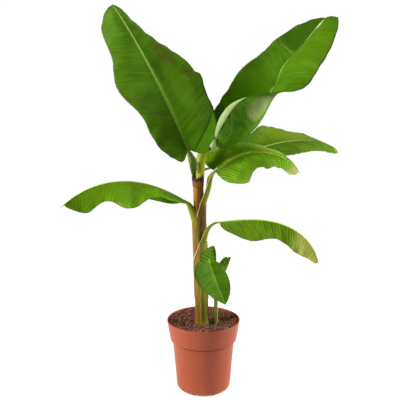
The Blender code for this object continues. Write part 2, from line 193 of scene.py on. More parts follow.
def thing(name, mesh, *finishes):
    """A named object that holds this mesh, with its finishes."""
    piece = bpy.data.objects.new(name, mesh)
    for coat in finishes:
        mesh.materials.append(coat.material)
    bpy.context.scene.collection.objects.link(piece)
    return piece


def mesh_from(name, shape):
    """Turns a built bmesh into a named mesh."""
    mesh = bpy.data.meshes.new(name)
    shape.to_mesh(mesh)
    shape.free()
    return mesh


def piece_from(name, shape, *finishes, smooth=True):
    """Turns a built bmesh into a named object."""
    mesh = mesh_from(name, shape)
    if smooth:
        mesh.shade_smooth()
    return thing(name, mesh, *finishes)


def shape_tree(name, inputs):
    """An empty geometry tree with named inputs, and its first wires by name."""
    tree = bpy.data.node_groups.new(name, "GeometryNodeTree")
    tree.interface.new_socket("Geometry", in_out="INPUT", socket_type="NodeSocketGeometry")
    tree.interface.new_socket("Geometry", in_out="OUTPUT", socket_type="NodeSocketGeometry")
    for label, kind in inputs:
        tree.interface.new_socket(label, in_out="INPUT", socket_type="NodeSocket" + kind)
    net = Net(tree)
    group_input = tree.nodes.new("NodeGroupInput")
    wires = {socket.name: Wire(net, socket) for socket in group_input.outputs if socket.name}
    return net, wires


def close_tree(net, geometry, material):
    """Makes instances real, gives the shape its material and hands it out."""
    real = net.node("GeometryNodeRealizeInstances", {}, {"Geometry": geometry})
    coated = net.node("GeometryNodeSetMaterial", {}, {"Geometry": real, "Material": material})
    out = net.tree.nodes.new("NodeGroupOutput")
    net.tree.links.new(coated.socket, out.inputs["Geometry"])


def grown(name, start, net, values, coat):
    """Runs a geometry tree on a starting mesh and keeps the result as a plain named mesh."""
    seedling = thing(name + "_start", start)
    modifier = seedling.modifiers.new("shape", "NODES")
    modifier.node_group = net.tree
    for item in net.tree.interface.items_tree:
        if item.in_out == "INPUT" and item.name in values:
            modifier[item.identifier] = values[item.name]
        if item.in_out == "INPUT" and item.name == "Material":
            modifier[item.identifier] = coat.material
    bpy.context.view_layer.update()
    result = seedling.evaluated_get(bpy.context.evaluated_depsgraph_get())
    mesh = bpy.data.meshes.new_from_object(result)
    seedling.modifiers.remove(modifier)
    bpy.data.objects.remove(seedling)
    mesh.name = name
    mesh.shade_smooth()
    piece = thing(name, mesh)
    if not mesh.materials:
        mesh.materials.append(coat.material)
    return piece


def arc(centre, radius, first, last, steps):
    """Points (out, height) on an arc of a section, its angles in degrees."""
    angles = [radians(first + (last - first) * step / steps) for step in range(steps + 1)]
    return [(centre[0] + radius * cos(angle), centre[1] + radius * sin(angle)) for angle in angles]


def inside_wall():
    """The inside of the pot as (radius, height), from under the rim down to the edge of the floor."""
    return [(RIM_RADIUS - RIM_LIP - LIP_SLOPE, POT_HEIGHT - RIM_DEPTH),
            (COLLAR_RADIUS - POT_WALL, COLLAR_FOOT + INNER_SLOPE),
            (COLLAR_RADIUS - STEP - POT_WALL, COLLAR_FOOT - INNER_SLOPE),
            (FOOT_RADIUS - POT_WALL, FOOT_ROUND),
            (FOOT_RADIUS - FOOT_ROUND, POT_FLOOR)]


def pot_section():
    """The pot's section as (radius, height), from the middle of the underside to the middle of the floor."""
    flat = FOOT_RADIUS - FOOT_ROUND
    neck = COLLAR_RADIUS - STEP
    outer = [(0.0, UNDERSIDE_HOLLOW), (flat - HOLLOW_EDGE, UNDERSIDE_HOLLOW), (flat - STANDING_EDGE, 0.0)]
    outer += arc((flat, FOOT_ROUND), FOOT_ROUND, -90, 0, 14)
    outer += [(neck - 0.0004, COLLAR_FOOT - 0.0052), (neck, COLLAR_FOOT - 0.0030)]
    outer += arc((neck + LEDGE_ROUND, COLLAR_FOOT - 0.0022), LEDGE_ROUND, 180, 110, 4)
    outer += arc((COLLAR_RADIUS - LEDGE_ROUND, COLLAR_FOOT + 0.0014), LEDGE_ROUND, -60, 0, 5)
    outer += arc((RIM_RADIUS - 0.0012, POT_HEIGHT - 0.0054), LIP_ROUND, -60, 0, 3)
    outer += arc((RIM_RADIUS - RIM_ROUND, POT_HEIGHT - RIM_ROUND), RIM_ROUND, 0, 90, 5)
    outer += arc((RIM_RADIUS - RIM_LIP + LIP_ROUND, POT_HEIGHT - LIP_ROUND), LIP_ROUND, 90, 180, 4)
    return outer + inside_wall() + [(0.0, POT_FLOOR)]


def turned(section, sides):
    """A body of revolution round the pot's axis from a section whose two ends lie on it."""
    shape = bmesh.new()
    columns = []
    for side in range(sides):
        turn = 2 * pi * side / sides
        columns.append([shape.verts.new((radius * cos(turn), radius * sin(turn), height))
                        for radius, height in section[1:-1]])
    first = shape.verts.new((0.0, 0.0, section[0][1]))
    last = shape.verts.new((0.0, 0.0, section[-1][1]))
    for here, there in zip(columns, columns[1:] + columns[:1]):
        shape.faces.new((first, there[0], here[0]))
        shape.faces.new((last, here[-1], there[-1]))
        for step in range(len(here) - 1):
            shape.faces.new((here[step], there[step], there[step + 1], here[step + 1]))
    return shape


plastic = Finish("pot plastic", roughness=0.42, specular_ior_level=0.22)
where = plastic.place()
cloud = plastic.noise(where, 9.0, 3.0)
grain = plastic.noise(where, 900.0, 2.0)
height = plastic.part(where, "Z")
near_foot = plastic.ease(height, 0.034, 0.002)
worn = near_foot * plastic.ease(plastic.noise(where, 150.0, 4.0), 0.45, 0.60)
specks = near_foot * plastic.ease(plastic.noise(where, 260.0, 3.0), 0.56, 0.66)
dust = plastic.ease(plastic.drawn(where, 0.25, 60.0, 4.0), 0.55, 0.80)
tint = plastic.blend(cloud, (0.270, 0.050, 0.016), (0.335, 0.070, 0.024))
tint = plastic.blend(dust * 0.20, tint, (0.38, 0.15, 0.08))
tint = plastic.blend(worn * 0.60, tint, (0.46, 0.15, 0.07))
tint = plastic.blend(specks * 0.70, tint, (0.050, 0.014, 0.008))
# Painted shade: a dark band just under the collar's lower edge, where the step shades the wall.
painted_collar_shade = plastic.ease((height - (COLLAR_FOOT - 0.0030)).math("ABSOLUTE"), 0.0040, 0.0005)
plastic.colour(plastic.blend(painted_collar_shade * 0.75, tint, (0.030, 0.008, 0.004)))
plastic.roughness(0.36 + 0.12 * cloud + 0.12 * dust)
plastic.relief(grain * 0.35 + cloud, 0.0003)

pot_net, pot_in = shape_tree("drain slots", [
    ("Slots", "Int"), ("Ring", "Float"), ("Slot Size", "Vector"), ("Slot Height", "Float"),
    ("Material", "Material")])
ring = pot_net.node("GeometryNodeMeshCircle", {}, {"Vertices": pot_in["Slots"], "Radius": pot_in["Ring"]})
turn = pot_net.node("FunctionNodeAlignRotationToVector", {"axis": "X"},
                    {"Vector": pot_net.node("GeometryNodeInputPosition")})
block = pot_net.node("GeometryNodeMeshCube", {}, {"Size": pot_in["Slot Size"]})
blocks = pot_net.node("GeometryNodeInstanceOnPoints", {},
                      {"Points": ring, "Instance": block, "Rotation": turn})
lift = pot_net.node("ShaderNodeCombineXYZ", {}, {"Z": pot_in["Slot Height"]})
blocks = pot_net.node("GeometryNodeTransform", {}, {"Geometry": blocks, "Translation": lift,
                                                    "Rotation": (0.0, 0.0, pi / DRAIN_SLOTS)})
blocks = pot_net.node("GeometryNodeRealizeInstances", {}, {"Geometry": blocks})
pierced = pot_net.node("GeometryNodeMeshBoolean", {"operation": "DIFFERENCE", "solver": "EXACT"},
                       {"Mesh 1": pot_in["Geometry"], "Mesh 2": blocks})
close_tree(pot_net, pierced, pot_in["Material"])
body = turned(pot_section(), POT_SIDES)
bmesh.ops.recalc_face_normals(body, faces=body.faces)
pot = grown("moulded_pot", mesh_from("pot", body), pot_net,
            {"Slots": DRAIN_SLOTS, "Ring": FOOT_RADIUS - FOOT_ROUND / 5,
             "Slot Size": DRAIN_SLOT, "Slot Height": DRAIN_MIDDLE}, plastic)
pot.data.set_sharp_from_angle(angle=radians(38))
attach(pot, "root")
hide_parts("pot")


# ---- Potting mix ----
# Composted bark and coir, filled to about a centimetre below the rim, higher along the wall and rough on
# top. Loose chips of bark in four tones lie on it.
MIX_TOP = 0.200
MIX_WALL_RISE = 0.0075       # the mix stands this much higher along the wall
MIX_RISE_FROM = 0.056        # radius where that rise starts
MIX_ROUGHNESS = 0.004
MIX_CRUMBS = 0.0012          # height of the finest crumbs
MIX_SHOULDER = 0.004         # height of the low edge against the wall
MIX_EDGE = 0.0018            # breadth of that edge
WALL_CLEARANCE = 0.0006
FLOOR_CLEARANCE = 0.0004
MIX_RINGS = 44
MIX_SIDES = 144
STEM_PLACE = Vector((-0.0036, 0.0))
SUCKER_PLACE = Vector((0.0362, 0.0))
CALM_STEM = 0.026            # the mix is nearly level within this distance of the stem
CALM_SUCKER = 0.010
CALM_SPAN = 0.02             # and turns rough over this one


def smooth_step(place):
    """0 up to 0, 1 from 1 and an even S between."""
    place = min(max(place, 0.0), 1.0)
    return place * place * (3.0 - 2.0 * place)


def mix_height(x, y):
    """The rough surface: coarse lumps, fine crumbs, and nearly level round the two stems."""
    from_stem = (Vector((x, y)) - STEM_PLACE).length - CALM_STEM
    from_sucker = (Vector((x, y)) - SUCKER_PLACE).length - CALM_SUCKER
    calm = 0.25 + 0.75 * smooth_step(from_stem / CALM_SPAN) * smooth_step(from_sucker / CALM_SPAN)
    lumps = noise.noise(Vector((x, y, 0.0)) * 70.0) + 0.5 * noise.noise(Vector((x, y, 3.0)) * 150.0)
    crumbs = noise.noise(Vector((x, y, 7.0)) * 420.0)
    rise = smooth_step((sqrt(x * x + y * y) - MIX_RISE_FROM) / (COLLAR_RADIUS - MIX_RISE_FROM))
    return MIX_TOP + MIX_ROUGHNESS * calm * (0.2 + 0.8 * lumps) + MIX_CRUMBS * crumbs + MIX_WALL_RISE * rise


def skinned(shape, rows, closed=True, flipped=False):
    """Joins each row of points to the next with four-sided faces."""
    for lower, upper in zip(rows, rows[1:]):
        for side in range(len(lower) if closed else len(lower) - 1):
            after = (side + 1) % len(lower)
            if flipped:
                shape.faces.new((lower[side], upper[side], upper[after], lower[after]))
            else:
                shape.faces.new((lower[side], lower[after], upper[after], upper[side]))


def circle(radius, sides):
    """Points (x, y) evenly round the pot's axis."""
    turns = [2 * pi * side / sides for side in range(sides)]
    return [(radius * cos(turn), radius * sin(turn)) for turn in turns]


def build_mix():
    """The filling: down the inside of the wall, across the floor, and up over the rough top."""
    rim, collar, ledge, foot, floor = inside_wall()
    edge = MIX_TOP + MIX_WALL_RISE - MIX_SHOULDER
    edge_radius = collar[0] + (rim[0] - collar[0]) * (edge - collar[1]) / (rim[1] - collar[1])
    wall = [(floor[0], floor[1] + FLOOR_CLEARANCE), foot, ledge, collar, (edge_radius, edge)]
    rings = [(radius - WALL_CLEARANCE, level) for radius, level in wall]
    for ring_number in range(MIX_RINGS):
        rings.append(((edge_radius - MIX_EDGE) * (1.0 - ring_number / MIX_RINGS), None))
    shape = bmesh.new()
    loops = []
    for radius, level in rings:
        loop = []
        for x, y in circle(radius, MIX_SIDES):
            loop.append(shape.verts.new((x, y, mix_height(x, y) if level is None else level)))
        loops.append(loop)
    skinned(shape, loops)
    middle = shape.verts.new((0.0, 0.0, mix_height(0.0, 0.0)))
    base = shape.verts.new((0.0, 0.0, wall[0][1]))
    for side in range(MIX_SIDES):
        after = (side + 1) % MIX_SIDES
        shape.faces.new((middle, loops[-1][side], loops[-1][after]))
        shape.faces.new((base, loops[0][after], loops[0][side]))
    return shape


bark = Finish("potting mix", roughness=0.95, specular_ior_level=0.2)
where = bark.place()
crumb = bark.noise(where, 420.0, 4.0, rough=0.65)
patch = bark.noise(where, 38.0, 3.0)
EARTH_TONES = [(0.34, (0.008, 0.003, 0.002)), (0.48, (0.060, 0.020, 0.012)),
               (0.58, (0.180, 0.060, 0.032)), (0.68, (0.38, 0.18, 0.11))]
bark.colour(bark.node("ShaderNodeValToRGB", {"stops": EARTH_TONES}, {"Fac": crumb * 0.75 + patch * 0.25}))
bark.relief(crumb, 0.0014)
mix = piece_from("filled_mix", build_mix(), bark)
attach(mix, "root")
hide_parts("potting_mix")

# Each tone's colour, its chips to a square metre, their length and its seed.
CHIP_TONES = {
    "dark": ((0.012, 0.005, 0.004), 34000.0, 0.0044, 11),
    "red": ((0.140, 0.040, 0.022), 34000.0, 0.0042, 12),
    "brown": ((0.240, 0.095, 0.050), 24000.0, 0.0038, 13),
    "tan": ((0.500, 0.270, 0.180), 14000.0, 0.0034, 14),
}

CHIP_JAG = 0.0016            # how ragged the chips are
chip_net, chip_in = shape_tree("loose chips", [
    ("Density", "Float"), ("Length", "Float"), ("Seed", "Int"), ("Material", "Material")])
spots = chip_net.node("GeometryNodeDistributePointsOnFaces", {"distribute_method": "RANDOM"},
                      {"Mesh": chip_in["Geometry"], "Density": chip_in["Density"], "Seed": chip_in["Seed"]})
chip = chip_net.node("GeometryNodeMeshIcoSphere", {}, {"Radius": 0.5, "Subdivisions": 1})
spin = chip_net.node("FunctionNodeRandomValue", {"data_type": "FLOAT_VECTOR"},
                     {0: (-0.7, -0.7, 0.0), 1: (0.7, 0.7, 6.28), "Seed": chip_in["Seed"]})
size = chip_net.node("FunctionNodeRandomValue", {"data_type": "FLOAT_VECTOR"},
                     {0: (0.6, 0.4, 0.2), 1: (1.9, 1.0, 0.6), "Seed": chip_in["Seed"] + 5.0})
size = chip_net.vector("SCALE", size, chip_in["Length"])
chips = chip_net.node("GeometryNodeInstanceOnPoints", {},
                      {"Points": spots, "Instance": chip, "Rotation": spin, "Scale": size})
chips = chip_net.node("GeometryNodeRealizeInstances", {}, {"Geometry": chips})
jag = chip_net.node("ShaderNodeTexNoise", {}, {"Scale": 900.0, "Detail": 1.0}, "Color")
jag = chip_net.vector("SCALE", chip_net.vector("SUBTRACT", jag, (0.5, 0.5, 0.5)), CHIP_JAG)
chips = chip_net.node("GeometryNodeSetPosition", {}, {"Geometry": chips, "Offset": jag})
close_tree(chip_net, chips, chip_in["Material"])

PATCH_RADIUS = 0.0945        # the chips lie within this radius, and clear of the two stems
PATCH_RINGS = 16
PATCH_SIDES = 48
PATCH_LIFT = 0.0002
STEM_CLEARING = 0.0215
SUCKER_CLEARING = 0.008
top_patch = bmesh.new()
loops = []
for ring_number in range(1, PATCH_RINGS + 1):
    loops.append([top_patch.verts.new((x, y, mix_height(x, y) + PATCH_LIFT))
                  for x, y in circle(PATCH_RADIUS * ring_number / PATCH_RINGS, PATCH_SIDES)])
skinned(top_patch, loops, flipped=True)
for place, clearing in ((STEM_PLACE, STEM_CLEARING), (SUCKER_PLACE, SUCKER_CLEARING)):
    near = [face for face in top_patch.faces if (face.calc_center_median().xy - place).length < clearing]
    bmesh.ops.delete(top_patch, geom=near, context="FACES")
patch_mesh = mesh_from("mix top", top_patch)
for tone, (colour, density, length, seed) in CHIP_TONES.items():
    coat = Finish("bark chip " + tone, roughness=0.9, specular_ior_level=0.25, base_color=(*colour, 1.0))
    chips = grown("mix_chips_" + tone, patch_mesh.copy(), chip_net,
                  {"Density": density, "Length": length, "Seed": seed}, coat)
    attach(chips, "root")


# ---- False stem ----
# The wrapped bases of the leaves, one round another. It leans a little to the left, flares at the foot and
# has a neck above the lowest leaves. Its outer skins are dry and fibrous, brown over green.
GAP = 0.0003                 # clear space between pieces that touch on the real plant
STEM_FOOT = Vector((STEM_PLACE.x, 0.0, MIX_TOP + GAP))
STEM_TOP = Vector((-0.0156, 0.0, 0.628))
STEM_RADIUS = 0.0195         # from the flare up to the lowest leaves
NECK_RADIUS = 0.0152         # above the lowest leaves
NECK_HEIGHT = 0.515          # middle of the narrowing
NECK_SPAN = 0.08
FLARE = 0.0030
FLARE_REACH = 0.014
STEM_STATIONS = 200
STEM_SIDES = 72
STEM_RUN_ON = 0.004          # how far the stem runs on down into the mix
SKIN_ROOM = 0.0006           # room left for the relief of the fibres
STEM_LEAN = (STEM_FOOT.x - STEM_TOP.x) / (STEM_TOP.z - STEM_FOOT.z)


def stem_radius(height):
    """Radius of the wrapped stem at this height."""
    narrowing = smooth_step((height - NECK_HEIGHT) / NECK_SPAN + 0.5)
    flare = FLARE * exp((STEM_FOOT.z - height) / FLARE_REACH)
    return STEM_RADIUS + (NECK_RADIUS - STEM_RADIUS) * narrowing + flare


def stem_centre(height):
    """Middle of the leaning stem at this height."""
    return STEM_FOOT.lerp(STEM_TOP, (height - STEM_FOOT.z) / (STEM_TOP.z - STEM_FOOT.z))


def line_mesh(name, points, **values):
    """A chain of points, with a named number or vector kept at each."""
    mesh = bpy.data.meshes.new(name)
    links = [(step, step + 1) for step in range(len(points) - 1)]
    mesh.from_pydata([tuple(point) for point in points], links, [])
    for label, row in values.items():
        if isinstance(row[0], float):
            mesh.attributes.new(label, "FLOAT", "POINT").data.foreach_set("value", row)
        else:
            flat = [number for vector in row for number in vector]
            mesh.attributes.new(label, "FLOAT_VECTOR", "POINT").data.foreach_set("vector", flat)
    return mesh


def named(net, label, kind="FLOAT"):
    """A number or vector that the points carry."""
    return net.node("GeometryNodeInputNamedAttribute", {"data_type": kind}, {"Name": label}, "Attribute")


def swept(net, line, sides, radius, sockets):
    """A tube of this many sides along a chain of points."""
    path = net.node("GeometryNodeMeshToCurve", {}, {"Mesh": line})
    ring = net.node("GeometryNodeCurvePrimitiveCircle", {}, {"Resolution": sides, "Radius": radius})
    return net.node("GeometryNodeCurveToMesh", {},
                    {"Curve": path, "Profile Curve": ring, "Fill Caps": True, **sockets})


FIBRE_PITCH = (260.0, 260.0, 5.0)    # fibres to a metre round the stem, and their breaks to a metre up it
core_net, core_in = shape_tree("wrapped stem", [
    ("Sides", "Int"), ("Fibre Depth", "Float"), ("Material", "Material")])
tube = swept(core_net, core_in["Geometry"], core_in["Sides"], 1.0, {"Scale": named(core_net, "girth")})
fibre = core_net.vector("MULTIPLY", core_net.node("GeometryNodeInputPosition"), FIBRE_PITCH)
fibre = core_net.node("ShaderNodeTexNoise", {}, {"Vector": fibre, "Scale": 1.0, "Detail": 3.0})
outward = core_net.node("GeometryNodeInputNormal")
out = core_net.vector("SCALE", outward, (fibre - 0.5) * core_in["Fibre Depth"])
tube = core_net.node("GeometryNodeSetPosition", {}, {"Geometry": tube, "Offset": out})
close_tree(core_net, tube, core_in["Material"])


def sheath_tint(coat):
    """Colour of the outer sheaths, in three zones up the stem that each change across it, and their weave."""
    where = coat.place()
    height = coat.part(where, "Z")
    sideways = coat.part(where, "X")
    threads = coat.drawn(where, 0.018, 620.0, 3.0)
    streaks = coat.drawn(where, 0.06, 150.0, 4.0)
    clouds = coat.drawn(where, 0.35, 34.0, 3.0)
    across = (sideways - STEM_FOOT.x + STEM_LEAN * (height - STEM_FOOT.z)) / STEM_RADIUS
    across = across + (clouds - 0.5) * 0.5
    orange = (0.290, 0.120, 0.018)
    low = coat.blend(coat.ease(across, 0.15, 0.65), (0.215, 0.185, 0.014), (0.140, 0.170, 0.014))
    low = coat.blend(coat.ease(across, -0.55, -0.15), (0.205, 0.088, 0.012), low)
    middle = coat.blend(coat.ease(across, -0.95, -0.75), orange, (0.210, 0.145, 0.012))
    middle = coat.blend(coat.ease(across, -0.30, -0.10), middle, (0.085, 0.026, 0.004))
    # Top zone: painted light and shade. The stem's two sides are lighter and its middle darker, as the side
    # lights fall.
    shaded = coat.ease((across - 0.12).math("ABSOLUTE"), 0.60, 0.15)
    top = coat.blend(shaded, (0.360, 0.155, 0.016), (0.150, 0.070, 0.008))
    tint = coat.blend(coat.ease(height + clouds * 0.02, 0.452, 0.472), low, middle)
    tint = coat.blend(coat.ease(height + clouds * 0.02, 0.552, 0.578), tint, top)
    tint = coat.blend(coat.ease(streaks, 0.56, 0.36) * 0.55, tint, (0.050, 0.020, 0.004))
    tint = coat.blend(coat.ease(threads, 0.40, 0.75) * 0.40, tint, (0.360, 0.205, 0.045))
    fleck = coat.ease(coat.noise(where, 330.0, 3.0), 0.64, 0.72) * coat.ease(height, 0.38, 0.25)
    return coat.blend(fleck * 0.85, tint, (0.018, 0.007, 0.003)), threads * 0.6 + streaks


skin = Finish("dry leaf sheath", roughness=0.62, specular_ior_level=0.08)
tint, weave = sheath_tint(skin)
skin.colour(tint)
skin.relief(weave, 0.0009)

stem_low = STEM_FOOT.z - STEM_RUN_ON
levels = [stem_low + (STEM_TOP.z - stem_low) * step / STEM_STATIONS for step in range(STEM_STATIONS + 1)]
stem_line = line_mesh("stem line", [stem_centre(level) for level in levels],
                      girth=[stem_radius(level) - SKIN_ROOM for level in levels])
core = grown("wrapped_stem", stem_line, core_net, {"Sides": STEM_SIDES, "Fibre Depth": 0.0016}, skin)
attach(core, "root")
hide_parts("false_stem")


# ---- Dry collar ----
# The torn, dead end of an old sheath, dark brown and papery. It stands round the neck where the upper stalks
# come out, with one longer shred at the front.
COLLAR_BOTTOM = 0.606
COLLAR_TOP = 0.629           # height of its lowest tears
COLLAR_TEARS = 0.009         # how far torn points stand above those
COLLAR_PAPER = 0.0009
COLLAR_FLARE = 0.0014        # how far it stands off the stem at the top
COLLAR_CRINKLE = 0.0012
COLLAR_SIDES = 180
COLLAR_ROWS = 14
SHRED_PLACE = radians(-42.0)
SHRED_LENGTH = 0.010
SHRED_BREADTH = 0.012        # in radians, squared
SHRED_FLARE = 0.0045


def build_collar():
    """A wrap of papery skin whose top edge is torn into points."""
    shape = bmesh.new()
    rows = []
    for row in range(COLLAR_ROWS + 1):
        share = row / COLLAR_ROWS
        loop = []
        for side in range(COLLAR_SIDES):
            angle = 2.0 * pi * side / COLLAR_SIDES
            torn = 0.5 + noise.noise(Vector((cos(angle) * 4.0, sin(angle) * 4.0, 1.0)))
            torn += 0.45 * noise.noise(Vector((cos(angle) * 15.0, sin(angle) * 15.0, 5.0)))
            shred = exp(-((angle - SHRED_PLACE + pi) % (2.0 * pi) - pi) ** 2 / SHRED_BREADTH)
            top = COLLAR_TOP + COLLAR_TEARS * torn + SHRED_LENGTH * shred
            level = COLLAR_BOTTOM + (top - COLLAR_BOTTOM) * share
            crinkle = noise.noise(Vector((cos(angle) * 9.0, sin(angle) * 9.0, level * 60.0)))
            flare = (COLLAR_FLARE + COLLAR_CRINKLE * crinkle + SHRED_FLARE * shred * share) * share
            radius = stem_radius(level) + GAP + flare
            middle = stem_centre(level)
            point = (middle.x + radius * cos(angle), middle.y + radius * sin(angle), level)
            loop.append(shape.verts.new(point))
        rows.append(loop)
    skinned(shape, rows)
    return shape


paper = Finish("dead sheath", roughness=0.85, specular_ior_level=0.2)
where = paper.place()
crease = paper.drawn(where, 0.25, 300.0, 4.0)
height = paper.part(where, "Z")
dead = paper.blend(crease, (0.010, 0.004, 0.005), (0.115, 0.038, 0.024))
sound = paper.blend(crease, (0.110, 0.042, 0.008), (0.300, 0.125, 0.022))
edge = paper.drawn(where, 0.3, 120.0, 3.0)
paper.colour(paper.blend(paper.ease(height + 0.016 * (edge - 0.5), 0.6215, 0.6245), sound, dead))
paper.relief(crease, 0.0010)
collar = piece_from("torn_collar", build_collar(), paper)
wall = collar.modifiers.new("paper", "SOLIDIFY")
wall.thickness = COLLAR_PAPER
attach(collar, "root")
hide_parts("dry_collar")


# ---- Leaf lines ----
# What every leaf is drawn from, in metres and degrees. A midrib leaves its root on a heading, from +X towards
# +Y, and at a rise above level. By its tip the heading has changed by sweep, the rise has dropped by droop and
# twist has been added to its roll. The veins lean by vein_foot at the foot and by vein_tip at the tip.
STALKS_FOOT = 0.6283         # height at which the upper stalks leave the stem's top
SUCKER_STALKS_FOOT = 0.31845
LEAST_HALF_WIDTH = 0.0009
RIB_TIP = 0.0010             # radius of a midrib at its leaf's tip
UPWARD = Vector((0.0, 0.0, 1.0))


def half(width, foot, fold, fold_gain, curl, curl_gain, wave=0.0, waves=2.5, phase=0.0, turn=0.5, over=1.0,
         lobe=(0.0, 1.0, 0.0)):
    """One side of a blade.

    It has its width at the widest, the share of that at the foot, its fold up from the flat and its curl
    from there to the margin. Fold and curl gain towards the tip, half of it by the share turn and all within
    the share over. Waves run along the margin, and a lobe may stand out near the foot, given by the share
    where it ends, its reach and its width.
    """
    return dict(width=width, foot=foot, fold=fold, fold_gain=fold_gain, curl=curl, curl_gain=curl_gain,
                wave=wave, waves=waves, phase=phase, turn=turn, over=over, lobe=lobe)


# full is the share of the length where a blade is widest, and it narrows over the share taper. A higher bend
# droops later, a higher point ends sharper and blunt is the least half width. drift carries the midrib aside,
# rib is its radius at the blade's foot, and tail is the length of a dry thread at its tip. A stalk leaves
# stalk_from along stalk_way with its back towards stalk_out, and narrows from stalk_radius to stalk_tip with
# swell added in its middle. sheath gives the distances from there between which a sheath narrows, opens_over
# how slowly it leaves the stem, and sheath_lift how far it stands off it.
LEAVES = {
    "upper_left": dict(
        root=(-0.042, -0.032, 0.717), length=0.482, heading=140, sweep=-5, rise=59, droop=17,
        roll=-8, twist=-19, full=0.43, taper=0.65, vein_foot=-42, vein_tip=29,
        left=half(0.103, 0.38, 3, -30, -4, -18, -0.094, 2.75, 0.33),
        right=half(0.126, 0.23, 46, -92, -1, -11, -0.061, 2.57, 0.30, lobe=(0.475, 0.10, 0.014)),
        rib=0.0036, tail=0.006,
        stalk_from=(-0.0238, -0.001, STALKS_FOOT), stalk_way=(0.00, 0.00, 1.0), stalk_out=(0.2, 1.0, 0.0),
        stalk_radius=0.0072, stalk_tip=0.0085, swell=0.0045),
    "upper_right": dict(
        root=(0.0384, 0.036, 0.7122), length=0.492, heading=29, sweep=-12, rise=26.8, droop=-26,
        roll=26.3, twist=-18, bend=0.5, full=0.28, taper=0.37, vein_foot=-15, vein_tip=13,
        left=half(0.110, 0.44, 57, -36, 42, -62, -0.023, 2.5, -0.38),
        right=half(0.2137, 0.045, -3, 72, 140, -234, turn=0.39, over=0.37),
        drift=(0.60, 0.10, 0.014), rib=0.0042,
        stalk_from=(-0.0092, -0.002, STALKS_FOOT), stalk_way=(-0.20, 0.00, 3.2), stalk_out=(0.2, -1.0, 0.0),
        stalk_end=0.6, stalk_radius=0.0108, stalk_tip=0.0062, swell=0.0050),
    "right_near": dict(
        root=(0.031, -0.010, 0.653), length=0.269, heading=25, sweep=-52, rise=35.7, droop=92,
        roll=-1, twist=-4, full=0.19, taper=0.79, vein_foot=-10, vein_tip=14, blunt=0.017,
        left=half(0.070, 0.22, 34, -24, 0, -51, 0.034, 2.74, 0.06),
        right=half(0.108, 0.06, -22, 2, -11, 30, 0.104, 2.81, -0.50),
        rib=0.0048,
        stalk_from=(0.0005, -0.004, 0.562), stalk_way=(0.30, 0.00, 1.0), stalk_end=0.60,
        stalk_radius=0.0070, stalk_tip=0.0070, swell=0.0040,
        sheath=(-0.16, 0.060), opens_over=0.110, sheath_lift=0.0008),
    "right_far": dict(
        root=(0.033, 0.060, 0.652), length=0.561, heading=38, sweep=13, rise=12, droop=36,
        roll=12, twist=-3, full=0.28, taper=0.39, vein_foot=-12, vein_tip=25,
        left=half(0.091, 0.35, 11, -4, 7, -16, 0.205, 2.82, -0.21),
        right=half(0.065, 0.34, 7, -7, -15, -34, 0.079, 2.32, 0.20),
        tail=0.014,
        stalk_from=(-0.0185, 0.0108, STALKS_FOOT), stalk_way=(0.00, 0.10, 1.0), stalk_end=1.0,
        stalk_radius=0.0038, stalk_tip=0.0036),
    "left_low": dict(
        root=(-0.057, -0.020, 0.575), length=0.375, heading=213, sweep=-13, rise=33, droop=73,
        roll=2, twist=-8, full=0.33, taper=0.67, vein_foot=0, vein_tip=17,
        left=half(0.072, 0.31, -15, -61, 6, -16, -0.227, 2.57, 0.53),
        right=half(0.042, 0.15, -68, 0, -20, 0),
        tail=0.014,
        stalk_from=(-0.0260, -0.004, 0.505), stalk_way=(-0.20, -0.10, 1.0),
        stalk_radius=0.0068, stalk_tip=0.0048, swell=0.0026,
        sheath=(-0.055, 0.075), opens_over=0.075, sheath_lift=0.0012),
    "right_low": dict(
        root=(0.044, -0.040, 0.515), length=0.331, heading=-18, sweep=0, rise=12, droop=91,
        roll=1, twist=-1, bend=2.0, full=0.30, taper=0.61, vein_foot=5, vein_tip=34,
        left=half(0.045, 0.15, -70, 0, -20, 0),
        right=half(0.056, 0.10, -58, 2, -32, 1, 0.130, 2.12, 0.73),
        tail=0.008,
        stalk_from=(-0.0005, -0.0130, 0.452), stalk_way=(0.30, -0.30, 0.8), stalk_end=1.25,
        stalk_radius=0.0062, stalk_tip=0.0042, swell=0.0012,
        sheath=(-0.12, 0.020), opens_over=0.060, sheath_lift=0.0016),
    "sucker_front": dict(
        root=(0.018, -0.047, 0.397), length=0.135, heading=-63, sweep=-5, rise=-48, droop=-16,
        roll=0, twist=0, full=0.41, taper=0.64, vein_foot=-11, vein_tip=12, point=0.95,
        left=half(0.037, 0.32, 9, 7, 2, 4),
        right=half(0.068, 0.32, 9, 8, 2, 4),
        stalk_from=(0.0350, -0.0068, SUCKER_STALKS_FOOT), stalk_way=(0.00, -0.40, 1.0),
        stalk_radius=0.0022, stalk_tip=0.0018),
    "sucker_top": dict(
        root=(0.029, -0.014, 0.386), length=0.050, heading=100, sweep=0, rise=70, droop=-12,
        roll=0, twist=0, full=0.23, taper=0.57, vein_foot=-26, vein_tip=-10,
        left=half(0.045, 0.35, 17, 5, 1, 2),
        right=half(0.009, 0.60, 16, 1, 0, 0),
        stalk_from=(0.0330, -0.0018, SUCKER_STALKS_FOOT), stalk_way=(0.0, 0.10, 1.0),
        stalk_radius=0.0020, stalk_tip=0.0015),
    "sucker_back": dict(
        root=(0.050, 0.004, 0.354), length=0.048, heading=53, sweep=-5, rise=57, droop=27,
        roll=-2, twist=-2, full=0.24, taper=0.48, vein_foot=-12, vein_tip=30,
        left=half(0.015, 0.35, 13, 1, -1, 1),
        right=half(0.022, 0.36, 14, 2, 0, 1),
        stalk_from=(0.0384, -0.0030, SUCKER_STALKS_FOOT), stalk_way=(0.05, 0.0, 1.0),
        stalk_radius=0.0020, stalk_tip=0.0015),
}


def direction(heading, rise):
    """A unit vector from a heading and an angle above level."""
    return Vector((cos(radians(rise)) * cos(radians(heading)), cos(radians(rise)) * sin(radians(heading)),
                   sin(radians(rise))))


